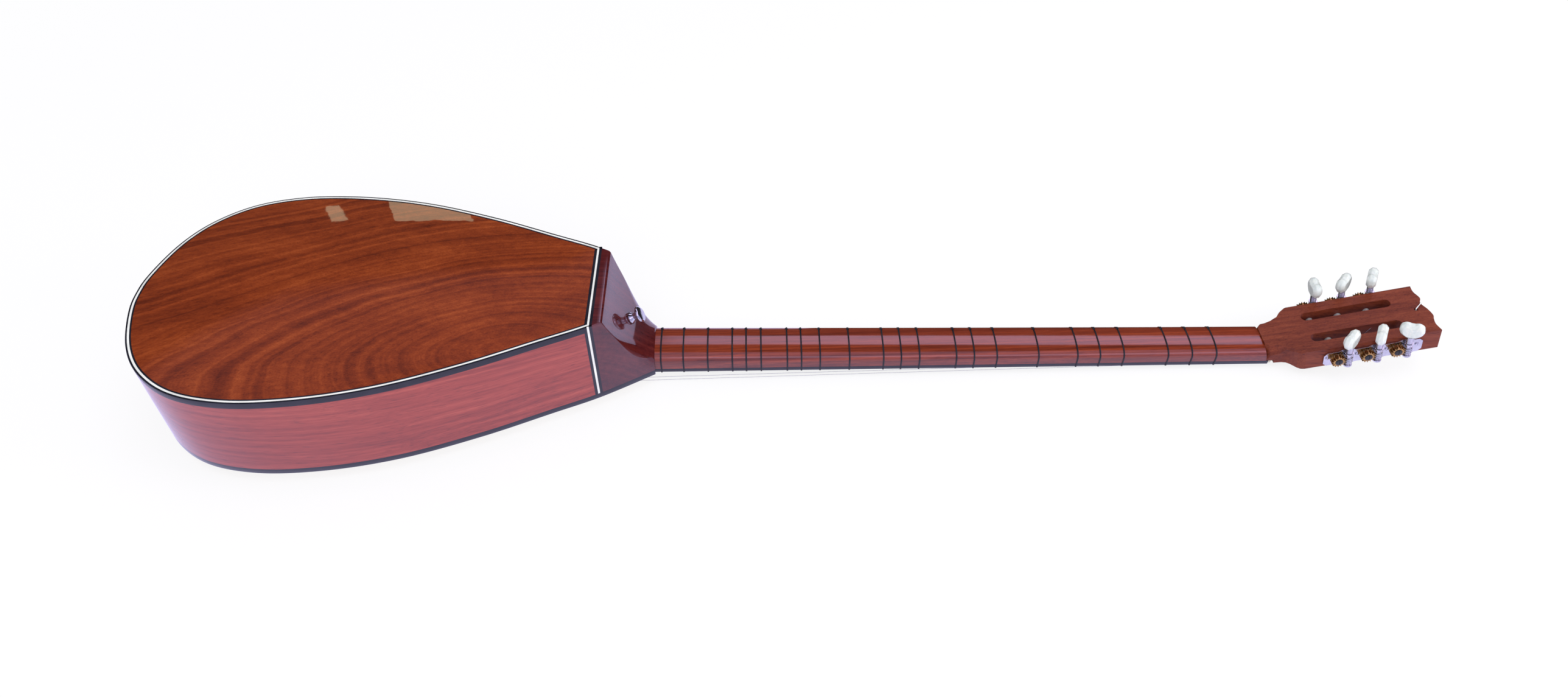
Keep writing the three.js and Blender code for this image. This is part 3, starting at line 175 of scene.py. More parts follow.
PLATE_SCREW = (1.7, 1.1, 0.45)
PLATE_SCREW_PLACES = (8.7, 33, 57, 81)
PLATE_SCREW_TURNS = (35, 85, 135, 185)
SCREW_RIM_SHARE = 0.35
SCREW_DOME = 0.7
WINDING_RADIUS = 0.27
WINDING_PITCH = 2.1 * WINDING_RADIUS
WINDING_TURNS = 4
WINDING_STEPS = 24
STRING_TAIL_RADIUS = 0.16
STRING_TAIL = ((42.2, -12.9, -8.6), (43.4, -12.8, -6.6), (44.9, -12.7, -4.4), (46.6, -12.6, -2.2),
               (48.8, -12.5, 0.2))

# Strings and nut; points of a string that lie closer along it than the gap belong to one bend
STRING_RADIUS = 0.13
STRING_BEND_GAP = 1
NUT_LENGTH = 4.5
NUT_HEIGHT = 5.8
NUT_HALF_WIDTH = 14
NUT_EASE = 0.8

# Strap button, and output socket with its bore, as (radius, height) pairs
STRAP_LENGTH = 11.5
STRAP_PROFILE = ((1, 0.05), (5, 0.05), (5, 1.7), (3, 3.9), (3, 6.8), (5.6, 8.1), (7, 8.6), (7, 10.4),
                 (5.4, STRAP_LENGTH), (1, STRAP_LENGTH))
JACK_PROFILE = ((5.7, -40), (5.7, 0.1), (8, 0.1), (8, 2), (6, 4), (6, 8), (8.5, 10), (8.5, 12), (3.4, 12),
                (3.4, -32))

# Grain of the woods, as repeats to a metre along and across the log, and the shares and depths of its parts
SWAY_GRAIN = (2.2, 7, 7)
BAND_GRAIN = (1.6, 32, 32)
STREAK_GRAIN = (7, 260, 260)
FIBRE_GRAIN = (40, 1300, 1300)
PORE_GRAIN = (70, 1900, 1900)
GRAIN_SWING = 0.016
RING_FLATNESS = 2.2
FIBRE_SHARE = 0.18
BAND_SHARE = 0.22
SHADE_PLACES = (0.33, 0.44, 0.52, 0.6, 0.7)
PORE_EDGE = (0.6, 0.68)
PORE_DEPTH = 0.04 * MM
PORE_SHADE = (0.4, 0.3, 0.27, 1)
SWELL_GRAIN = 45.0
SWELL_DEPTH = 0.12 * MM
LACQUER_IOR = 1.7
LACQUERED_SHINE = 0.08
BARE_SHINE = 0.25

# The room that the lacquer mirrors: dark walls, a pale band of sky on the head's side, a paler near side, and
# cloth on the floor in front of the object and beside the body. The limits are parts of a direction
DARK_ROOM = (0.03, 0.025, 0.03, 1)
PALE_SKY = (1.55, 1.3, 1.95, 1)
SKY_FOOT = (0.62, 0.66)
SKY_TOP = (0.85, 0.81)
SKY_SIDE = (-0.08, -0.03)
SKY_REST = 0.06
NEAR_ROOM = (0.52, 0.5, 0.82, 1)
NEAR_SIDE = (0.05, -0.03)
MIRRORED_CLOTH = (0.84, 0.8, 1.2, 1)
CLOTH_EDGE_BLUR = 0.01
FAR_CLOTH_EDGE = ORIGIN.x - 0.4

# Windows mirrored in the back: the place (x, y) on it where each is seen, then the window's width and height
WINDOWS = ((-803, 94, 0.036, 0.085), (-708, 93, 0.18, 0.11))
WINDOW_DISTANCE = 1.4
WINDOW_RADIANCE = 1.5
WINDOW_COLOUR = (1, 0.92, 0.6)

# Soft lamps: name, place and what it faces in the part's frame, size in metres, watts and colour
LAMPS = (
    ("overhead", (0.1, -0.3, 2.4), (0, 0, 0), (2.4, 1.6), 22, (1, 1, 1)),
    ("front", (-0.5, -1.8, 1.2), (0, 0, 0), (2.0, 1.0), 16, (1, 0.97, 1)),
    ("side", (1.7, -0.3, 0.7), tuple(ORIGIN), (0.8, 0.8), 12, (1, 0.95, 0.98)),
)
FILL_COLOUR = (0.93, 0.95, 1.0, 1)
FILL_STRENGTH = 0.75
WHITE = (1, 1, 1, 1)

# Floor: how far it reaches and how low it lies, its colour, and the fading of its shadows into pure white
FLOOR_REACH = 6.0
FLOOR_DROP = 0.0005
FLOOR_COLOUR = (0.88, 0.87, 0.93, 1)
FLOOR_WHITE = 0.82
SHADOW_REACH = (0.7, 1.6)

# Sides of the round tubes of strings and gut
TUBE_SIDES = 8

# Ends of the body and the neck along the instrument, and the middle of the headstock's thickness
JOINT_X = -NECK_LENGTH
HEEL_X = JOINT_X - HEEL_LENGTH
TAIL_X = HEEL_X - BODY_LENGTH
PEAK_X = TAIL_X + ARCH_PEAK_FROM_TAIL
PLATES_X = HEEL_X - HEEL_BAND_HALF
HEEL_START = HEEL_X + HEEL_BAND_HALF
POST_LEVEL = -HEAD_THICKNESS / 2


class Finish:
    """A material, built a node at a time."""

    def __init__(self, name):
        self.material = bpy.data.materials.new(name)
        self.material.use_nodes = True
        self.tree = self.material.node_tree
        self.shader = self.tree.nodes["Principled BSDF"]

    @classmethod
    def of_world(cls, world):
        """The same way of building, for the nodes of a world."""
        made = cls.__new__(cls)
        world.use_nodes = True
        made.tree = world.node_tree
        return made

    def feed(self, socket, value):
        """Links another node's output to a socket, or sets the socket's own value."""
        if isinstance(value, bpy.types.NodeSocket):
            self.tree.links.new(value, socket)
        else:
            socket.default_value = value

    def add(self, kind, inputs=None, **settings):
        node = self.tree.nodes.new(kind)
        for key, value in settings.items():
            setattr(node, key, value)
        for key, value in (inputs or {}).items():
            self.feed(node.inputs[key], value)
        return node

    def set(self, **inputs):
        for key, value in inputs.items():
            self.feed(self.shader.inputs[key.replace("_", " ")], value)

    def place(self, centre=(0, 0, 0), turn=(0, 0, 0), squeeze=(1, 1, 1)):
        """Places on the object about a centre, squeezed and then turned."""
        coords = self.add("ShaderNodeTexCoord").outputs["Object"]
        off = self.add("ShaderNodeMapping", {"Vector": coords, "Location": [-c for c in centre]}).outputs[0]
        squeezed = self.stretch(off, squeeze)
        return self.add("ShaderNodeMapping", {"Vector": squeezed, "Rotation": turn}).outputs[0]

    def stretch(self, vector, scale):
        return self.add("ShaderNodeMapping", {"Vector": vector, "Scale": scale}).outputs[0]

    def noise(self, vector, scale=1.0, detail=4.0, roughness=0.5, distortion=0.0):
        inputs = {"Vector": vector, "Scale": scale, "Detail": detail}
        inputs.update({"Roughness": roughness, "Distortion": distortion})
        return self.add("ShaderNodeTexNoise", inputs).outputs["Fac"]

    def ramp(self, value, stops):
        """A colour ramp through (place, colour) stops."""
        node = self.add("ShaderNodeValToRGB", {"Fac": value})
        band = node.color_ramp
        while len(band.elements) < len(stops):
            band.elements.new(1)
        for element, (place, colour) in zip(band.elements, stops):
            element.position = place
            element.color = (*colour, 1)
        return node.outputs["Color"]

    def span(self, value, low, high, to_low=0.0, to_high=1.0):
        """A value carried from one range to another and held at its ends."""
        inputs = {"Value": value, "From Min": low, "From Max": high, "To Min": to_low, "To Max": to_high}
        return self.add("ShaderNodeMapRange", inputs).outputs[0]

    def math(self, kind, *values):
        node = self.add("ShaderNodeMath", operation=kind)
        for socket, value in zip(node.inputs, values):
            self.feed(socket, value)
        return node.outputs[0]

    def blend(self, amount, base, colour, kind="MIX"):
        """A base colour carried towards another by an amount."""
        node = self.add("ShaderNodeMix", data_type="RGBA", blend_type=kind)
        self.feed(node.inputs["Factor"], amount)
        self.feed(node.inputs["A"], base)
        self.feed(node.inputs["B"], colour)
        return node.outputs["Result"]

    def bump(self, height, distance, strength=1.0, normal=None):
        inputs = {"Height": height, "Distance": distance, "Strength": strength}
        if normal is not None:
            inputs["Normal"] = normal
        return self.add("ShaderNodeBump", inputs).outputs["Normal"]

    def eased_edges(self, radius):
        """The normal with sharp edges rounded by a radius, or none where they stay sharp."""
        if not radius:
            return None
        return self.add("ShaderNodeBevel", {"Radius": radius}, samples=4).outputs[0]


def wood(name, shades, log_place, ring_size=0.012, figure=0.5, pores=0.5, coat=1.0, roughness=0.4, ease=0.0):
    """Wood cut from a log that lies nearly along X: growth rings, streaks, pores and a coat of lacquer."""
    f = Finish(name)
    log = f.place(*log_place)
    sway = f.noise(f.stretch(log, SWAY_GRAIN), detail=3.0, roughness=0.55)
    axes = f.add("ShaderNodeSeparateXYZ", {"Vector": log}).outputs
    swing = f.span(sway, 0.0, 1.0, -GRAIN_SWING, GRAIN_SWING)
    across = f.math("ADD", axes["Y"], swing)
    up = f.math("ADD", f.math("MULTIPLY", axes["Z"], RING_FLATNESS), swing)
    radius = f.math("SQRT", f.math("ADD", f.math("MULTIPLY", across, across), f.math("MULTIPLY", up, up)))
    waves = {"W": radius, "Scale": 1 / ring_size, "Detail": 5.0, "Roughness": 0.6}
    rings = f.add("ShaderNodeTexNoise", waves, noise_dimensions="1D").outputs["Fac"]
    bent = f.add("ShaderNodeCombineXYZ", {"X": axes["X"], "Y": across, "Z": up}).outputs[0]
    bands = f.noise(f.stretch(bent, BAND_GRAIN), detail=2.0)
    streaks = f.noise(f.stretch(bent, STREAK_GRAIN), detail=6.0, roughness=0.7)
    fibre = f.noise(f.stretch(bent, FIBRE_GRAIN), detail=3.0, roughness=0.6)
    dashes = f.noise(f.stretch(bent, PORE_GRAIN), detail=1.0)
    body = f.math("ADD", f.math("MULTIPLY", rings, figure), f.math("MULTIPLY", streaks, 1 - figure))
    body = f.math("MULTIPLY", body, 1 - FIBRE_SHARE - BAND_SHARE)
    fine = f.math("ADD", body, f.math("MULTIPLY", fibre, FIBRE_SHARE))
    shade = f.math("ADD", fine, f.math("MULTIPLY", bands, BAND_SHARE))
    colour = f.ramp(shade, list(zip(SHADE_PLACES, shades)))
    dark = f.math("MULTIPLY", f.span(dashes, *PORE_EDGE), pores)
    f.set(Base_Color=f.blend(dark, colour, PORE_SHADE, "MULTIPLY"))
    f.set(Roughness=f.span(fibre, 0.3, 0.7, roughness * 0.85, roughness * 1.15))
    f.set(Specular_IOR_Level=LACQUERED_SHINE if coat else BARE_SHINE)
    f.set(Coat_Weight=coat, Coat_IOR=LACQUER_IOR, Coat_Roughness=f.span(sway, 0.3, 0.7, 0.012, 0.03))
    f.set(Normal=f.bump(dashes, PORE_DEPTH, 0.35 if coat else 0.8, f.eased_edges(ease)))
    if coat:
        swell = f.noise(f.place(), SWELL_GRAIN, 2.0)
        f.set(Coat_Normal=f.bump(swell, SWELL_DEPTH, 0.5))
    return f.material


def plain(name, low, high, roughness, scale=60.0, metallic=0.0, coat=0.0, ease=0.0):
    """A finish that varies a little between two colours, with fine wear in its gloss."""
    f = Finish(name)
    cloud = f.noise(f.place(), scale, 5.0)
    wear = f.noise(f.place(), scale * 9, 3.0, 0.7)
    f.set(Base_Color=f.ramp(cloud, [(0.35, low), (0.65, high)]), Metallic=metallic)
    f.set(Roughness=f.span(f.math("ADD", cloud, wear), 0.7, 1.3, roughness * 0.75, roughness * 1.3))
    f.set(Normal=f.bump(wear, 0.00002, 0.15, f.eased_edges(ease)))
    if coat:
        f.set(Coat_Weight=coat, Coat_Roughness=0.03, Coat_IOR=LACQUER_IOR, Specular_IOR_Level=0.1)
    return f.material


def pearl(name):
    """Pearl plastic: soft folded clouds with some light let in."""
    f = Finish(name)
    folds = f.noise(f.stretch(f.place(), (1, 1, 0.5)), 120.0, 4.0, 0.55, 3.0)
    stops = [(0.3, (0.56, 0.61, 0.6)), (0.5, (0.65, 0.69, 0.67)), (0.7, (0.7, 0.71, 0.67))]
    f.set(Base_Color=f.ramp(folds, stops))
    f.set(Roughness=f.span(folds, 0.3, 0.7, 0.16, 0.3))
    f.set(Subsurface_Weight=0.25, Subsurface_Radius=(0.002, 0.002, 0.0018))
    f.set(Coat_Weight=0.5, Coat_Roughness=0.05)
    f.set(Normal=f.bump(f.noise(f.place(), 500.0, 2.0), 0.00001, 0.2))
    return f.material


def log_at(centre, roll=0.0, pitch=0.0, yaw=0.0, squeeze=(1, 1, 1)):
    """Middle of a log off the nut, in metres, its turns in degrees, and the squeeze that bends its grain."""
    place = (ORIGIN.x + centre[0], centre[1], ORIGIN.z + centre[2])
    return place, [math.radians(turn) for turn in (roll, pitch, yaw)], squeeze


BACK_LOG = log_at((-0.611, -0.067, 0.088), pitch=11, yaw=-7)
RIB_LOG = log_at((-0.4, 0, -0.06), roll=84, yaw=-2, squeeze=(1, 0.06, 1))
NECK_LOG = log_at((-0.4, -0.05, -0.02), roll=80, pitch=2, yaw=-3)
PLAIN_LOG = ((0, 0.4, 0.1), (0, 0, 0), (1, 1, 1))

# Shades of each wood from dark to light
MAHOGANY = ((0.065, 0.008, 0.002), (0.145, 0.02, 0.003), (0.215, 0.033, 0.005), (0.285, 0.051, 0.009),
            (0.37, 0.08, 0.017))
RIB_WOOD = ((0.15, 0.014, 0.008), (0.235, 0.026, 0.013), (0.31, 0.04, 0.022), (0.38, 0.06, 0.034),
            (0.46, 0.09, 0.05))
ROSEWOOD = ((0.03, 0.002, 0.003), (0.055, 0.004, 0.005), (0.08, 0.008, 0.008), (0.11, 0.014, 0.012),
            (0.15, 0.024, 0.018))
NECK_WOOD = ((0.055, 0.007, 0.003), (0.12, 0.016, 0.006), (0.19, 0.028, 0.01), (0.26, 0.042, 0.014),
             (0.36, 0.07, 0.022))
HEAD_WOOD = ((0.07, 0.01, 0.005), (0.12, 0.021, 0.01), (0.175, 0.034, 0.015), (0.225, 0.049, 0.022),
             (0.29, 0.073, 0.033))
SPRUCE = ((0.5, 0.3, 0.13), (0.58, 0.37, 0.17), (0.66, 0.43, 0.21), (0.72, 0.49, 0.26))
INNER_WOOD = ((0.3, 0.18, 0.09), (0.42, 0.27, 0.14), (0.5, 0.33, 0.18), (0.56, 0.38, 0.22))
BRIDGE_WOOD = ((0.04, 0.016, 0.01), (0.08, 0.03, 0.017), (0.12, 0.05, 0.026), (0.17, 0.075, 0.04))


def wooden_finishes():
    return {
        "body_mahogany": wood("mahogany", MAHOGANY, BACK_LOG, ring_size=0.006, figure=0.55, pores=0.55),
        "heel_rosewood": wood("rosewood", ROSEWOOD, NECK_LOG, ring_size=0.008, figure=0.45, pores=0.3),
        "soundboard_spruce": wood("spruce", SPRUCE, PLAIN_LOG, ring_size=0.003, pores=0.2, coat=0.8),
        "inner_wood": wood("inner_wood", INNER_WOOD, PLAIN_LOG, ring_size=0.004, pores=0.3, coat=0.0,
                           roughness=0.7),
        "neck_wood": wood("neck_wood", NECK_WOOD, NECK_LOG, ring_size=0.006, figure=0.45),
        "bridge_wood": wood("bridge_wood", BRIDGE_WOOD, PLAIN_LOG, ring_size=0.004, pores=0.3, coat=0.2,
                            roughness=0.45, ease=0.0005),
        "head_wood": wood("head_wood", HEAD_WOOD, NECK_LOG, figure=0.4, pores=1.0, coat=0.0, roughness=0.45,
                          ease=0.0005),
    }


def metal_finishes():
    return {
        "nickel": plain("nickel", (0.6, 0.6, 0.61), (0.7, 0.7, 0.72), 0.1, 90.0, metallic=1.0),
        "tuner_nickel": plain("tuner_nickel", (0.62, 0.62, 0.64), (0.76, 0.76, 0.77), 0.2, 120.0,
                              metallic=1.0, ease=0.0003),
        "gear_brass": plain("gear_brass", (0.34, 0.18, 0.05), (0.66, 0.42, 0.16), 0.25, 400.0, metallic=1.0,
                            ease=0.0001),
        "post_steel": plain("post_steel", (0.7, 0.7, 0.71), (0.82, 0.82, 0.84), 0.3, 200.0, metallic=0.65),
        "string_steel": plain("string_steel", (0.5, 0.5, 0.5), (0.66, 0.66, 0.64), 0.25, 300.0, metallic=1.0),
        "button_chrome": plain("button_chrome", (0.6, 0.6, 0.62), (0.72, 0.72, 0.75), 0.06, 90.0,
                               metallic=1.0),
    }


def other_finishes():
    return {
        "dark_binding": plain("dark_binding", (0.004, 0.005, 0.009), (0.011, 0.012, 0.02), 0.35, coat=0.7),
        "white_line": plain("white_line", (0.66, 0.66, 0.64), (0.82, 0.82, 0.8), 0.35, coat=0.8),
        "ebony": plain("ebony", (0.005, 0.005, 0.009), (0.014, 0.012, 0.02), 0.35, coat=0.6, ease=0.0003),
        "bone": plain("bone", (0.6, 0.55, 0.42), (0.78, 0.74, 0.62), 0.35, ease=0.0003),
        "black_plastic": plain("black_plastic", (0.008, 0.009, 0.012), (0.018, 0.019, 0.024), 0.4,
                               ease=0.0003),
        "knob_plastic": plain("knob_plastic", (0.008, 0.008, 0.009), (0.018, 0.018, 0.02), 0.3, ease=0.0003),
        "pearl": pearl("pearl"),
        "nylon": plain("nylon", (0.7, 0.7, 0.7), (0.85, 0.85, 0.85), 0.25),
    }


FINISHES = {**wooden_finishes(), **metal_finishes(), **other_finishes()}
# The ribs are cut from the same wood as the back, along another face of the log, and take lighter, pinker
# shades than the back
SIDE_WOOD = wood("mahogany_side", RIB_WOOD, RIB_LOG, ring_size=0.005, figure=0.3, pores=0.6)


def dress_part():
    """Gives every node of the part the finish of its slot in the record."""
    for part in frame["record"]["subparts"]:
        for holder in frame["nodes"][part["node"]].material_slots:
            holder.material = FINISHES[part["material_slot"]]


def at(x, y, z):
    """A point of the part's frame from millimetres off the nut."""
    return ORIGIN + Vector((x, y, z)) * MM


def head_matrix(along=0.0, out=0.0, level=0.0):
    """Carries millimetres from a point of the headstock's tilted frame to the part's frame."""
    tilt = Matrix.Translation((HEAD_PLACE[0], 0, HEAD_PLACE[1])) @ Matrix.Rotation(-HEAD_TILT, 4, "Y")
    return Matrix.Translation(ORIGIN) @ Matrix.Scale(MM, 4) @ tilt @ Matrix.Translation((along, out, level))


def piece(name, parts, slot, body="instrument", stands_for=(), sharp=40, finish=None):
    """A mesh of closed parts that rides on a body and takes its finish from a slot."""
    made = bmesh.new()
    for points, faces in parts:
        corners = [made.verts.new(p) for p in points]
        for face in faces:
            made.faces.new([corners[k] for k in face])
    bmesh.ops.remove_doubles(made, verts=made.verts, dist=0.001 * MM)
    bmesh.ops.recalc_face_normals(made, faces=made.faces)
    mesh = bpy.data.meshes.new(name)
    made.to_mesh(mesh)
    made.free()
    mesh.shade_smooth()
    mesh.set_sharp_from_angle(angle=math.radians(sharp))
    thing = bpy.data.objects.new(name, mesh)
    bpy.context.collection.objects.link(thing)
    mesh.materials.append(finish or FINISHES[slot])
    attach(thing, body)
    if stands_for:
        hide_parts(*stands_for)


def skin(rings, closed_path=False):
    """Faces between rings of equal count, with end caps where the path is open."""
    count = len(rings[0])
    points = [p for ring in rings for p in ring]
    faces = []
    last = len(rings) if closed_path else len(rings) - 1
    for i in range(last):
        here = i * count
        there = ((i + 1) % len(rings)) * count
        for j in range(count):
            k = (j + 1) % count
            faces.append((here + j, here + k, there + k, there + j))
    if not closed_path:
        faces.append(tuple(reversed(range(count))))
        faces.append(tuple(range(last * count, last * count + count)))
    return points, faces


def tube(path, radius, closed=False):
    """A round tube along a path of points, in the units of the path."""
    path = [Vector(p) for p in path]
    count = len(path)
    rings = []
    normal = None
    for i, here in enumerate(path):
        before = path[i - 1] if i or closed else here
        after = path[(i + 1) % count] if i < count - 1 or closed else here
        along = (after - before).normalized()
        if normal is None:
            normal = along.orthogonal().normalized()
        normal = (normal - along * normal.dot(along)).normalized()
        side = along.cross(normal)
        turns = [math.tau * j / TUBE_SIDES for j in range(TUBE_SIDES)]
        rings.append([here + (normal * math.cos(t) + side * math.sin(t)) * radius for t in turns])
    return skin(rings, closed)


def eased(profile, radius, steps=3):
    """A profile with its inner corners rounded."""
    points = [Vector(p) for p in profile]
    out = [points[0]]
    for before, corner, after in zip(points, points[1:], points[2:]):
        back = (before - corner) * min(0.45, radius / max((before - corner).length, 1e-9))
        on = (after - corner) * min(0.45, radius / max((after - corner).length, 1e-9))
        for k in range(steps + 1):
            t = k / steps
            out.append(corner + back * (1 - t) ** 2 + on * t ** 2)
    out.append(points[-1])
    return out


def turned(profile, sides=40):
    """A profile of (radius, height) pairs turned about Z, with flat ends."""
    turns = [math.tau * j / sides for j in range(sides)]
    return skin([[Vector((r * math.cos(t), r * math.sin(t), z)) for t in turns] for r, z in profile])


def moved(part, matrix):
    """A part carried elsewhere by a matrix."""
    points, faces = part
    return [matrix @ Vector(p) for p in points], faces


def brick(x, y, z):
    """A box from pairs of limits, in millimetres off the nut."""
    ring = [(y[0], z[0]), (y[1], z[0]), (y[1], z[1]), (y[0], z[1])]
    return skin([[at(side, a, b) for a, b in ring] for side in x])


def catmull(points, steps):
    """A smooth line through points, its speed evened by the root of their distances."""
    points = [np.array(p, float) for p in points]
    points = [2 * points[0] - points[1], *points, 2 * points[-1] - points[-2]]
    line = []
    for a, b, c, d in zip(points, points[1:], points[2:], points[3:]):
        before, here, after = (math.sqrt(np.linalg.norm(q - p)) for p, q in ((a, b), (b, c), (c, d)))
        leave = ((b - a) / before - (c - a) / (before + here) + (c - b) / here) * here
        arrive = ((c - b) / here - (d - b) / (here + after) + (d - c) / after) * here
        for t in np.linspace(0, 1, steps, endpoint=False):
            line.append((2 * t**3 - 3 * t**2 + 1) * b + (t**3 - 2 * t**2 + t) * leave
                        + (3 * t**2 - 2 * t**3) * c + (t**3 - t**2) * arrive)
    line.append(points[-2])
    return np.array(line)


def evened(line, count):
    """A line resampled at equal distances."""
    length = np.concatenate([[0], np.cumsum(np.linalg.norm(np.diff(line, axis=0), axis=1))])
    places = np.linspace(0, length[-1], count)
    return np.stack([np.interp(places, length, line[:, k]) for k in range(line.shape[1])], axis=1)


def body_outline():
    """Plan of the body from the treble end of the heel round the tail to the bass end."""
    side = [(TAIL_X + along * BODY_LENGTH, wide * BODY_HALF_WIDTH) for along, wide in OUTLINE_SHARES]
    slope = (HEEL_END_HALF_WIDTH - side[-1][1]) / (JOINT_X - side[-1][0])
    side.append((JOINT_X, HEEL_END_HALF_WIDTH))
    side.append((JOINT_X + OUTLINE_OVERRUN, HEEL_END_HALF_WIDTH + slope * OUTLINE_OVERRUN))
    through = [*reversed(side), (TAIL_X, 0), *((x, -w) for x, w in side)]
    return evened(catmull(through, 40), OUTLINE_POINTS)


OUTLINE = body_outline()


def rim(inset, end_x, start_y=None):
    """The outline drawn in by an inset as far as end_x, or only its treble half from start_y on."""
    along = np.empty_like(OUTLINE)
    along[1:-1] = OUTLINE[2:] - OUTLINE[:-2]
    along[0], along[-1] = along[1], along[-2]
    along /= np.linalg.norm(along, axis=1, keepdims=True)
    line = OUTLINE + inset * np.stack([-along[:, 1], along[:, 0]], axis=1)
    inside = OUTLINE[:, 0] < end_x - RIM_END_GAP
    line = line[inside]
    first = line[0] + (line[0] - line[1]) * (end_x - line[0][0]) / (line[0][0] - line[1][0])
    last = line[-1] + (line[-1] - line[-2]) * (end_x - line[-1][0]) / (line[-1][0] - line[-2][0])
    if start_y is None:
        return np.array([first, *line, last])
    half = line[line[:, 1] > start_y + RIM_START_GAP]
    tail_x = np.interp(start_y, line[::-1, 1], line[::-1, 0])
    return np.array([first, *half, (tail_x, start_y)])


def half_width(x):
    """Half the width of the body at x."""
    treble = OUTLINE[: len(OUTLINE) // 2]
    return np.interp(x, treble[::-1, 0], treble[::-1, 1])


def swept(profile, end_x, start_y=None, side=1):
    """A profile of (inset, height) pairs carried round the outline."""
    lines = [rim(inset, end_x, start_y) for inset, _ in profile]
    return skin([[at(p[0], side * p[1], z) for p, (_, z) in zip(row, profile)] for row in zip(*lines)])


def arch_rise(x, share):
    """Rise of the arched back at x and at a share of the way from its spine to its edge."""
    past = max(x - PEAK_X, 0) / (PLATES_X - PEAK_X)
    return BACK_ARCH * (1 - past**2) * (1 - share**2)


def back_plate():
    """The arched back, as strips from its spine to each point of its edge."""
    rings = []
    for x, y in rim(BACK_BAND_WIDTH + SEAM, PLATES_X):
        spine = max(x, PEAK_X)
        top = []
        for share in np.linspace(0, 1, 15):
            rise = arch_rise(spine, share)
            top.append((spine + (x - spine) * share, y * share, BODY_DEPTH + rise))
        under = [(a, b, c - BACK_THICKNESS) for a, b, c in reversed(top)]
        rings.append([at(*p) for p in [*top, *under]])
    points, faces = skin(rings)
    # The strips meet at the spine, so the wall between top and underside is left out there
    count = len(rings[0])
    faces = [f for f in faces if len(f) > 4 or (f[0] % count, f[1] % count) != (count - 1, 0)]
    piece("smooth_back", [(points, faces)], "body_mahogany", stands_for=["back_plate"])


def ribs():
    """Both ribs, each in three bands: the middle one stops short of the socket in the tail."""
    gap = JACK_WINDOW_HALF
    middle = BODY_DEPTH / 2
    levels = (BINDING_HEIGHT, middle - gap, middle + gap, BODY_DEPTH - BINDING_HEIGHT)
    for name, side in (("treble", 1), ("bass", -1)):
        parts = []
        for z0, z1, start_y in zip(levels, levels[1:], (SEAM, gap, SEAM)):
            profile = [(0, z0), (RIB_THICKNESS, z0), (RIB_THICKNESS, z1), (0, z1)]
            parts.append(swept(profile, PLATES_X, start_y, side))
        piece(f"smooth_rib_{name}", parts, "body_mahogany", stands_for=[f"rib_{name}"], finish=SIDE_WOOD)


def eased_corner(z, way):
    """The outer corner of a binding, rounded, as (inset, height) pairs."""
    e = BINDING_EASE
    return [(e, z), (0.3 * e, z - 0.3 * e * way), (0, z - e * way)]


def bindings():
    """Black edge bindings, the band across the heel and down the ribs, and the white line let into them."""
    top = BODY_DEPTH
    foot = BODY_DEPTH - BACK_BAND_THICKNESS
    groove = WHITE_INSET + WHITE_WIDTH
    profile = [*eased_corner(top, 1), (0, top - BINDING_HEIGHT), (BINDING_WIDTH, top - BINDING_HEIGHT),
               (BINDING_WIDTH, foot), (BACK_BAND_WIDTH, foot), (BACK_BAND_WIDTH, top), (groove, top),
               (groove, top - WHITE_DEPTH), (WHITE_INSET, top - WHITE_DEPTH), (WHITE_INSET, top)]
    white = [(WHITE_INSET, top), (WHITE_INSET, top - WHITE_DEPTH), (groove, top - WHITE_DEPTH), (groove, top)]
    half = WHITE_WIDTH / 2
    reach = half_width(HEEL_X) - BINDING_EASE
    black = [swept(profile, HEEL_X - half)]
    pale = [swept(white, HEEL_X - half)]
    for x in ((HEEL_X - HEEL_BAND_HALF, HEEL_X - half), (HEEL_X + half, HEEL_X + HEEL_BAND_HALF)):
        inner = groove if x[0] < HEEL_X else 0
        black.append(brick(x, (inner - reach, reach - inner), (foot, top)))
    pale.append(brick((HEEL_X - half, HEEL_X + half), (-reach, reach), (top - WHITE_DEPTH, top)))
    strips = ((-HEEL_BAND_HALF, -half, black), (-half, half, pale), (half, HEEL_BAND_HALF, black))
    for side in (-1, 1):
        for x0, x1, parts in strips:
            rings = []
            for x in (HEEL_X + x0, HEEL_X + x1):
                outer = half_width(x)
                column = [(outer - BINDING_EASE, top), (outer, top - BINDING_EASE), (outer, BINDING_HEIGHT),
                          (outer - WHITE_INSET, BINDING_HEIGHT), (outer - WHITE_INSET, top)]
                rings.append([at(x, side * y, z) for y, z in column])
            parts.append(skin(rings))
    piece("smooth_back_binding", black, "dark_binding", stands_for=["back_binding"])
    piece("smooth_white_line", pale, "white_line", stands_for=["back_purfling"])
    low = [*eased_corner(0, -1), (0, BINDING_HEIGHT), (BINDING_WIDTH, BINDING_HEIGHT), (BINDING_WIDTH, 0)]
    piece("smooth_top_binding", [swept(low, JOINT_X - SEAM)], "dark_binding", stands_for=["top_binding"])


def scoop_line():
    """Side view of the heel's back, from the band to the neck, as (x, z) pairs."""
    start = HEEL_START + HEEL_FLAT_LENGTH
    a = Vector((start, BODY_DEPTH))
    b = Vector((start + SCOOP_CONTROL_RUN, SCOOP_CONTROL_HEIGHT))
    c = Vector((JOINT_X, NECK_DEPTH_HEEL))
    curve = [a * (1 - t) ** 2 + b * 2 * t * (1 - t) + c * t * t for t in np.linspace(0, 1, 33)]
    crease = eased([(HEEL_START, BODY_DEPTH), a, curve[3]], CREASE_EASE, 6)
    return [(p.x, p.y) for p in [*crease, *curve[4:]]]


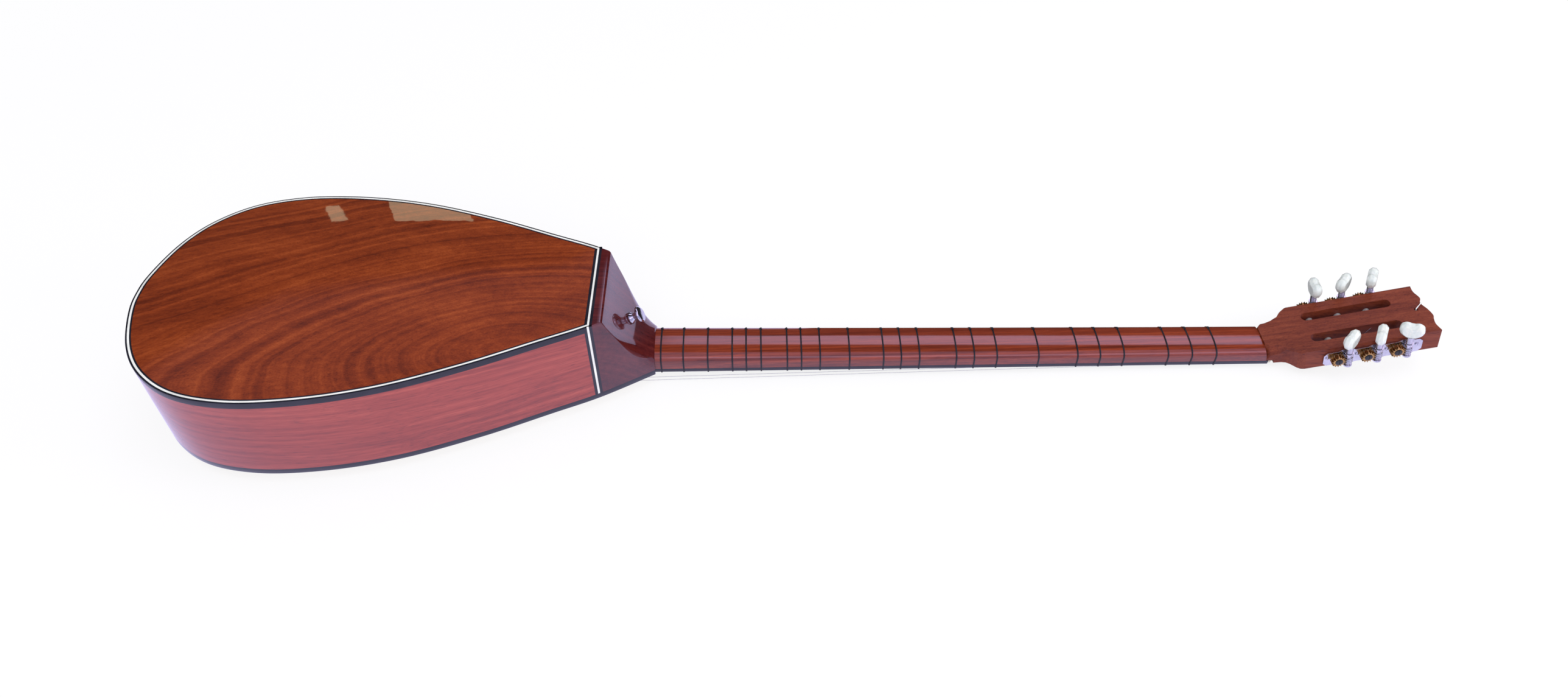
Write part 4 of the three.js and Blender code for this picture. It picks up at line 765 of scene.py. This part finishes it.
def heel():
    """The heel: flat-topped at the band, and rounded like the neck where it meets it."""
    rings = []
    for x, top in scoop_line():
        morph = min(max(1 - (JOINT_X - x) / HEEL_MORPH, 0), 1)
        morph *= morph * (3 - 2 * morph)
        wide = half_width(x)
        shoulder = board_z(JOINT_X) + NECK_SIDE_HEIGHT
        across = HEEL_EASE + (wide - HEEL_EASE) * morph
        down = HEEL_EASE + (top - shoulder - HEEL_EASE) * morph
        power = 1 + (SECTION_POWER - 1) * morph
        arc = []
        for t in np.linspace(0, math.pi / 2, 13):
            out, up = max(math.cos(t), 0) ** power, math.sin(t) ** power
            arc.append((wide - across * (1 - out), top - down * (1 - up)))
        half = [(wide, BINDING_HEIGHT), *arc]
        ring = [*half, *((-y, z) for y, z in reversed(half))]
        rings.append([at(min(x, JOINT_X - SEAM), y, z) for y, z in ring])
    piece("smooth_heel", [skin(rings)], "heel_rosewood", stands_for=["heel_block"], sharp=50)


def neck_share(x):
    """Share of the way from the nut to the heel."""
    return min(max(-x / NECK_LENGTH, 0), 1)


def neck_half(x):
    """Half the width of the neck at x."""
    return NECK_HALF_WIDTH_NUT + (NECK_HALF_WIDTH_HEEL - NECK_HALF_WIDTH_NUT) * neck_share(x)


def board_z(x):
    """Level of the joint between the neck and the fingerboard."""
    return -BOARD_NUT_DROP + (BOARD_HEEL_RISE + BOARD_NUT_DROP) * neck_share(x)


def neck_arch(x, grow=0.0, steps=48):
    """The back of the neck at x from the treble flank to the bass flank, as (y, z) pairs."""
    half = neck_half(x) + grow
    crown = NECK_DEPTH_NUT + (NECK_DEPTH_HEEL - NECK_DEPTH_NUT) * neck_share(x) ** NECK_DEPTH_POWER + grow
    shoulder = board_z(x) + NECK_SIDE_HEIGHT
    arch = []
    for k in range(steps + 1):
        angle = math.pi * k / steps
        wide = math.copysign(abs(math.cos(angle)) ** SECTION_POWER, math.cos(angle))
        high = abs(math.sin(angle)) ** SECTION_POWER
        arch.append((half * wide, shoulder + (crown - shoulder) * high))
    return arch


def neck():
    """The neck, cut at its end by the tilted face of the headstock, and the fingerboard."""
    rings = []
    for x in np.linspace(JOINT_X, 0, 61):
        half = neck_half(x)
        front = board_z(x)
        rings.append([(x, half, front), *((x, y, z) for y, z in neck_arch(x)), (x, -half, front)])
    tilt = math.tan(HEAD_TILT)
    last = []
    for x, y, z in rings[-1]:
        reach = HEAD_PLACE[0] - HEAD_NECK_REACH / math.cos(HEAD_TILT) - (z - HEAD_PLACE[1]) * tilt
        last.append((min(reach - SEAM, 0), y, z))
    rings[-1] = last
    rings = [[at(*p) for p in ring] for ring in rings]
    piece("smooth_neck", [skin(rings)], "neck_wood", stands_for=["neck_shaft"], sharp=60)
    board = []
    for x in (JOINT_X, 0):
        half = neck_half(x)
        back = board_z(x)
        low = back - BOARD_HEIGHT
        e = BOARD_EASE
        side = [(half, back), (half, low + e), (half - 0.3 * e, low + 0.3 * e), (half - e, low)]
        board.append([at(x, y, z) for y, z in [*side, *((-y, z) for y, z in reversed(side))]])
    piece("smooth_fingerboard", [skin(board)], "ebony", stands_for=["fingerboard"])


def nut():
    """The nut, with its long edges eased, and narrower than the fingerboard."""
    high = -BOARD_NUT_DROP
    low = high - NUT_HEIGHT
    e = NUT_EASE
    side = [(SEAM, high), (NUT_LENGTH, high), (NUT_LENGTH, low + e), (NUT_LENGTH - 0.3 * e, low + 0.3 * e),
            (NUT_LENGTH - e, low), (e, low), (0.3 * e, low + 0.3 * e), (SEAM, low + e)]
    ends = [[at(x, y, z) for x, z in side] for y in (-NUT_HALF_WIDTH, NUT_HALF_WIDTH)]
    piece("smooth_nut", [skin(ends)], "bone", stands_for=["nut"])


def strings():
    """Thin round strings through the bends of the strings of the part."""
    for number in range(1, 7):
        node = frame["nodes"][f"string_{number}"]
        corners = sorted((node.matrix_world @ v.co for v in node.data.vertices), key=lambda p: p.x)
        bends = [[corners[0]]]
        for before, here in zip(corners, corners[1:]):
            if here.x - before.x > STRING_BEND_GAP * MM:
                bends.append([])
            bends[-1].append(here)
        path = [sum(bend, Vector()) / len(bend) for bend in bends]
        piece(f"smooth_string_{number}", [tube(path, STRING_RADIUS * MM)], "string_steel",
              stands_for=[f"string_{number}"], sharp=180)


def fret_places():
    """Middle of each fret band, read off the fingerboard of the part."""
    low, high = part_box("fingerboard")
    xs = sorted({round(v.co.x, 5) for v in frame["nodes"]["fingerboard"].data.vertices})
    xs = [x for x in xs if low.x + MM < x < high.x - MM]
    least, most = (width * MM for width in FRET_BAND_RANGE)
    middles = [(a + b) / 2 for a, b in zip(xs, xs[1:]) if least < b - a < most]
    return [(x - ORIGIN.x) / MM for x in middles]


def fret_turn(x):
    """One turn of gut round the neck and its fingerboard."""
    r = STRAND_RADIUS
    half = neck_half(x)
    low = board_z(x) - BOARD_HEIGHT
    ease = STRAND_CORNER
    corner = [(half - ease, low - r), (half + 0.7 * r, low - 0.5 * r), (half + r, low + ease)]
    ring = [*neck_arch(x, r, 36), *((-y, z) for y, z in reversed(corner)), *corner]
    return tube([at(x, y, z) for y, z in ring], r * MM, closed=True)


def fret_knot(x):
    """A small knot of the same gut, a trefoil that lies on the treble side of the neck."""
    arch = neck_arch(x, KNOT_LIFT, 90)
    k = round(len(arch) * KNOT_ANGLE / math.pi)
    here = Vector((x, *arch[k]))
    along = (Vector((x, *arch[k + 1])) - here).normalized()
    out = along.cross(Vector((1, 0, 0)))
    if out.z < 0:
        out.negate()
    path = []
    for j in range(KNOT_STEPS):
        t = math.tau * j / KNOT_STEPS
        ring = (math.sin(t) + 2 * math.sin(2 * t)) / 3
        drop = (math.cos(t) - 2 * math.cos(2 * t)) / 3
        lift = -math.sin(3 * t) / 3
        off = Vector((KNOT_WIDE, 0, 0)) * ring + along * KNOT_LONG * drop + out * lift
        path.append(at(*(here + KNOT_RADIUS * off)))
    return tube(path, KNOT_STRAND * MM, closed=True)


def frets():
    """Tied frets from the nut to the heel, each some turns side by side and a knot."""
    for number, x in enumerate(sorted(fret_places(), reverse=True), 1):
        spread = [(turn - (FRET_TURNS - 1) / 2) * STRAND_PITCH for turn in range(FRET_TURNS)]
        parts = [fret_turn(x + shift) for shift in spread]
        piece(f"fret_{number:02d}", [*parts, fret_knot(x)], "black_plastic", sharp=180)


def worm_place(side, station):
    """Middle of a worm, with Z pointing out of the head's back."""
    along = POST_FIRST[side] + station * POST_PITCH + WORM_ALONG
    return head_matrix(along, side * (HEAD_HALF_WIDTH + WORM_OUT), POST_LEVEL)


def worm_thread():
    """The cut thread in the middle of the worm's core."""
    reach = WORM_TURNS * WORM_LEAD / 2
    sides = 40
    rings = []
    for z in np.linspace(-WORM_CORE, WORM_CORE, 105):
        fade = max(min((reach - abs(z)) / THREAD_FADE, 1), 0)
        ring = []
        for j in range(sides):
            turn = j / sides
            off = abs((z / WORM_LEAD - turn + 0.5) % 1 - 0.5) * WORM_LEAD
            ridge = min(max((THREAD_ROOT_HALF - off) / THREAD_FLANK, 0), 1)
            r = WORM_ROOT + (WORM_TIP - WORM_ROOT) * ridge * fade
            ring.append(Vector((r * math.cos(math.tau * turn), r * math.sin(math.tau * turn), z)))
        rings.append(ring)
    return skin(rings)


def worm_collar():
    """The ringed collar between the worm's tab and the button."""
    top = COLLAR_FOOT + COLLAR_HEIGHT
    pitch = COLLAR_HEIGHT / COLLAR_RINGS
    outline = [(SHAFT_RADIUS, COLLAR_FOOT)]
    for k in range(COLLAR_RINGS):
        low = COLLAR_FOOT + k * pitch
        for share, wide in COLLAR_RING_SHAPE:
            outline.append((COLLAR_RADIUS - COLLAR_GROOVE * (1 - wide), low + share * pitch))
    return turned([*outline, (COLLAR_RADIUS - COLLAR_GROOVE, top), (SHAFT_RADIUS, top)])


def worm(number, side, station):
    """Button shaft: lower journal, cut thread, upper journal and ringed collar."""
    foot = [(0.4, -TAB_OUTER), (SHAFT_RADIUS, -TAB_OUTER), (SHAFT_RADIUS, -WORM_CORE)]
    shaft = [(SHAFT_RADIUS, WORM_CORE), (SHAFT_RADIUS, BUTTON_FOOT + 1)]
    place = worm_place(side, station)
    whole = (worm_thread(), turned(eased(foot, 0.3)), turned(shaft), worm_collar())
    parts = [moved(part, place) for part in whole]
    piece(f"worm_{number}", parts, "tuner_nickel", f"tuner_drive_{number}", [f"tuner_worm_{number}"],
          sharp=50)


def button(number, side, station):
    """Pearl button: a butterfly outline with a flat bevel round each face and a dip in its top."""
    b = BUTTON_BEVEL
    place = worm_place(side, station) @ Matrix.Rotation(math.radians(BUTTON_TURNS[number - 1]), 4, "Z")
    half = BUTTON_WIDTH / 2 - b
    tall = BUTTON_HEIGHT - 2 * b
    right = [(x * half, z * tall) for x, z in BUTTON_SHARES]
    start = (0, right[0][1])
    loop = eased([start, *right, *((-x, z) for x, z in reversed(right)), start], BUTTON_EASE, 4)[:-1]
    line = np.array(loop)
    before = line - np.roll(line, 1, axis=0)
    after = np.roll(line, -1, axis=0) - line
    before /= np.linalg.norm(before, axis=1, keepdims=True)
    after /= np.linalg.norm(after, axis=1, keepdims=True)
    ahead = before + after
    ahead /= (ahead * before).sum(axis=1, keepdims=True)
    out = np.stack([ahead[:, 1], -ahead[:, 0]], axis=1)
    thick = BUTTON_THICKNESS / 2
    levels = [(-BUTTON_FACE_INSET, thick), (0, thick), (b, thick - b)]
    levels += [(b, b - thick), (0, -thick), (-BUTTON_FACE_INSET, -thick)]
    rings = []
    for grow, y in eased(levels, 0.3, 2):
        ring = line + out * grow
        rings.append([Vector((x, y, z + BUTTON_FOOT + b)) for x, z in ring])
    piece(f"button_{number}", [moved(skin(rings), place)], "pearl", f"tuner_drive_{number}",
          [f"tuner_button_{number}"], sharp=28)


def across_head(side, along, out):
    """Carries a piece turned about Z to a place on the head, its Z pointing out of the side."""
    return head_matrix(along, side * out, POST_LEVEL) @ Matrix.Rotation(-side * math.pi / 2, 4, "X")


def post(number, side, station):
    """String post with its winding, and the dark screw that holds the gear."""
    body = f"tuner_winder_{number}"
    along = POST_FIRST[side] + station * POST_PITCH
    place = across_head(side, along, 0)
    shoulder = HEAD_HALF_WIDTH + PLATE_FACE
    end = HEAD_HALF_WIDTH + GEAR_FACE
    barrel = eased([(1, POST_TIP), (POST_RADIUS, POST_TIP), (POST_RADIUS, shoulder)], 0.4)
    profile = [*barrel, (GEAR_SEAT_RADIUS, shoulder), (GEAR_SEAT_RADIUS, end)]
    piece(f"post_{number}", [moved(turned(profile), place)], "post_steel", body, [f"tuner_post_{number}"])
    r = POST_RADIUS + WINDING_RADIUS
    start = SLOT_OFFSET - WINDING_TURNS * WINDING_RADIUS
    coil = []
    for k in range(WINDING_STEPS * WINDING_TURNS + 1):
        turn = math.tau * k / WINDING_STEPS
        coil.append((r * math.cos(turn), r * math.sin(turn), start + WINDING_PITCH * k / WINDING_STEPS))
    piece(f"winding_{number}", [moved(tube(coil, WINDING_RADIUS), place)], "string_steel", body, sharp=180)
    place = across_head(side, along, end)
    screw = [moved(part, place) for part in screw_head(*GEAR_SCREW)]
    piece(f"gear_screw_{number}", screw, "black_plastic", body)


def screw_head(radius, height, slot_width):
    """Two half domes with a slot between them, standing on a thin disc."""
    rim_height = SCREW_RIM_SHARE * height
    parts = [turned([(radius, 0), (radius, rim_height)], 32)]
    for way in (-1, 1):
        rings = []
        for level in np.linspace(0, 1, 6):
            r = radius * (1 - SCREW_DOME * level**2) ** 0.5
            z = rim_height + (height - rim_height) * level
            span = math.acos(min(slot_width / 2 / r, 1))
            turns = np.linspace(-span, span, 21)
            rings.append([Vector((way * r * math.cos(t), r * math.sin(t), z)) for t in turns])
        parts.append(skin(rings))
    return parts


def plate_screws(side, name):
    """Chrome screws that hold a side plate of the machine heads."""
    parts = []
    for along, turn in zip(PLATE_SCREW_PLACES, PLATE_SCREW_TURNS):
        shift = POST_FIRST[side] - POST_FIRST[-1]
        place = across_head(side, along + shift, HEAD_HALF_WIDTH + PLATE_FACE)
        place = place @ Matrix.Rotation(math.radians(turn), 4, "Z")
        parts += [moved(part, place) for part in screw_head(*PLATE_SCREW)]
    piece(f"plate_screws_{name}", parts, "button_chrome")


def string_tail():
    """Loose end of a string, sticking out of the bass slot."""
    end = tube(catmull(STRING_TAIL, 6), STRING_TAIL_RADIUS)
    piece("string_tail", [moved(end, head_matrix())], "string_steel", sharp=180)


def machine_heads():
    """Six machine heads, three on each side, counted from the nut on the bass side first."""
    for number in range(1, 7):
        side = -1 if number <= 3 else 1
        station = (number - 1) % 3
        worm(number, side, station)
        button(number, side, station)
        post(number, side, station)
    plate_screws(-1, "bass")
    plate_screws(1, "treble")
    string_tail()


def strap_button():
    """The strap button on the scoop, placed by its mount in the record."""
    mount = next(m for m in frame["record"]["mounts"] if m["name"] == "strap_button_head")
    axis = Vector(mount["axis"])
    base = Vector(mount["pos_m"]) - axis * STRAP_LENGTH * MM
    place = Matrix.Translation(base) @ axis.to_track_quat("Z", "Y").to_matrix().to_4x4() @ Matrix.Scale(MM, 4)
    shape = turned(eased(STRAP_PROFILE, 0.7, 4), 56)
    piece("smooth_strap_button", [moved(shape, place)], "button_chrome", stands_for=["strap_button"],
          sharp=50)


def endpin():
    """The output socket in the tail, with its bore."""
    place = Matrix.Translation(at(TAIL_X, 0, BODY_DEPTH / 2)) @ Matrix.Rotation(-math.pi / 2, 4, "Y")
    place = place @ Matrix.Scale(MM, 4)
    shape = turned(eased(JACK_PROFILE, 0.6, 4), 56)
    piece("smooth_endpin", [moved(shape, place)], "nickel", stands_for=["endpin_jack"], sharp=50)


def camera():
    """The photograph's camera."""
    data = bpy.data.cameras.new("camera")
    data.lens = CAMERA_LENS
    data.sensor_width = CAMERA_SENSOR
    data.clip_start = 0.01
    thing = bpy.data.objects.new("camera", data)
    bpy.context.collection.objects.link(thing)
    level = math.cos(CAMERA_ELEVATION)
    drop = math.sin(CAMERA_ELEVATION)
    ahead = Vector((-math.sin(CAMERA_AZIMUTH) * level, math.cos(CAMERA_AZIMUTH) * level, -drop))
    turn = ahead.to_track_quat("-Z", "Y").to_matrix() @ Matrix.Rotation(CAMERA_ROLL, 3, "Z")
    thing.matrix_world = Matrix.Translation(at(*CAMERA_PLACE)) @ turn.to_4x4()
    bpy.context.scene.camera = thing


def area_light(name, place, target, size, watts, colour, mirrored=False):
    """A soft lamp; one that isn't mirrored leaves no picture of itself in the lacquer."""
    data = bpy.data.lights.new(name, "AREA")
    data.shape = "RECTANGLE"
    data.size, data.size_y = size
    data.energy = watts
    data.color = colour
    thing = bpy.data.objects.new(name, data)
    bpy.context.collection.objects.link(thing)
    place = Vector(place)
    turn = (Vector(target) - place).to_track_quat("-Z", "Y")
    thing.matrix_world = Matrix.Translation(place) @ turn.to_matrix().to_4x4()
    thing.visible_glossy = mirrored


def mirrored_place(x, y, distance):
    """A place on the back plate, and where a lamp stands to be seen in the lacquer there."""
    edge = half_width(x) - BACK_BAND_WIDTH
    height = arch_rise(x, y / edge)
    uphill_x = arch_rise(x + 1, y / edge) - height
    uphill_y = arch_rise(x, (y + 1) / edge) - height
    normal = Vector((-uphill_x, -uphill_y, 1)).normalized()
    here = at(x, y, BODY_DEPTH + height)
    look = (here - at(*CAMERA_PLACE)).normalized()
    return here, here + (look - 2 * look.dot(normal) * normal) * distance


def floor():
    """A pale floor that fades to white; the lacquer mirrors it as cloth with dark beyond."""
    mesh = bpy.data.meshes.new("floor")
    corners = [(x * FLOOR_REACH, y * FLOOR_REACH, 0) for x, y in ((-1, -1), (1, -1), (1, 1), (-1, 1))]
    mesh.from_pydata(corners, [], [(0, 1, 2, 3)])
    thing = bpy.data.objects.new("floor", mesh)
    thing.location.z = -FLOOR_DROP
    bpy.context.collection.objects.link(thing)
    f = Finish("floor")
    f.set(Base_Color=FLOOR_COLOUR, Roughness=0.9)
    path = f.add("ShaderNodeLightPath").outputs
    white = f.add("ShaderNodeEmission", {"Color": WHITE, "Strength": 1.0}).outputs[0]
    place = f.place()
    away = f.add("ShaderNodeVectorMath", {0: place}, operation="LENGTH").outputs["Value"]
    axes = f.add("ShaderNodeSeparateXYZ", {"Vector": place}).outputs
    near = f.span(axes["Y"], CLOTH_EDGE_BLUR, -CLOTH_EDGE_BLUR)
    far = f.span(axes["X"], FAR_CLOTH_EDGE + CLOTH_EDGE_BLUR, FAR_CLOTH_EDGE)
    cloth = f.blend(f.math("MAXIMUM", near, far), DARK_ROOM, MIRRORED_CLOTH)
    mirrored = f.add("ShaderNodeEmission", {"Color": cloth, "Strength": 1.0}).outputs[0]
    seen = f.math("MULTIPLY", path["Is Camera Ray"], f.span(away, *SHADOW_REACH, FLOOR_WHITE, 1.0))
    look = f.add("ShaderNodeMixShader", {"Fac": seen, 1: f.shader.outputs[0], 2: white}).outputs[0]
    look = f.add("ShaderNodeMixShader", {"Fac": path["Is Glossy Ray"], 1: look, 2: mirrored}).outputs[0]
    f.tree.links.new(look, f.tree.nodes["Material Output"].inputs["Surface"])
    mesh.materials.append(f.material)


def room():
    """White for the camera, a soft fill for shading, and the room that lacquer and metal mirror."""
    world = bpy.data.worlds.new("world")
    bpy.context.scene.world = world
    f = Finish.of_world(world)
    coords = f.add("ShaderNodeTexCoord").outputs["Generated"]
    axes = f.add("ShaderNodeSeparateXYZ", {"Vector": coords}).outputs
    band = f.math("MULTIPLY", f.span(axes["Z"], *SKY_FOOT), f.span(axes["Z"], *SKY_TOP))
    strip = f.math("MULTIPLY", band, f.span(axes["X"], *SKY_SIDE, SKY_REST, 1.0))
    shine = f.blend(f.span(axes["Y"], *NEAR_SIDE), DARK_ROOM, NEAR_ROOM)
    shine = f.blend(strip, shine, PALE_SKY)
    fill = f.add("ShaderNodeBackground", {"Color": FILL_COLOUR, "Strength": FILL_STRENGTH}).outputs[0]
    mirror = f.add("ShaderNodeBackground", {"Color": shine, "Strength": 1.0}).outputs[0]
    white = f.add("ShaderNodeBackground", {"Color": WHITE, "Strength": 1.0}).outputs[0]
    path = f.add("ShaderNodeLightPath").outputs
    seen = f.add("ShaderNodeMixShader", {"Fac": path["Is Glossy Ray"], 1: fill, 2: mirror}).outputs[0]
    seen = f.add("ShaderNodeMixShader", {"Fac": path["Is Camera Ray"], 1: seen, 2: white}).outputs[0]
    f.tree.links.new(seen, f.tree.nodes["World Output"].inputs["Surface"])


def lamps():
    """The soft lamps, and the lit windows that the back mirrors."""
    for name, place, target, size, watts, colour in LAMPS:
        area_light(name, place, target, size, watts, colour)
    for number, (x, y, width, height) in enumerate(WINDOWS, 1):
        here, place = mirrored_place(x, y, WINDOW_DISTANCE)
        watts = WINDOW_RADIANCE * math.pi * width * height
        area_light(f"window_{number}", place, here, (width, height), watts, WINDOW_COLOUR, mirrored=True)


dress_part()
back_plate()
ribs()
bindings()
heel()
neck()
nut()
strings()
frets()
machine_heads()
strap_button()
endpin()
camera()
floor()
room()
lamps()
bpy.context.scene.view_settings.view_transform = "Standard"
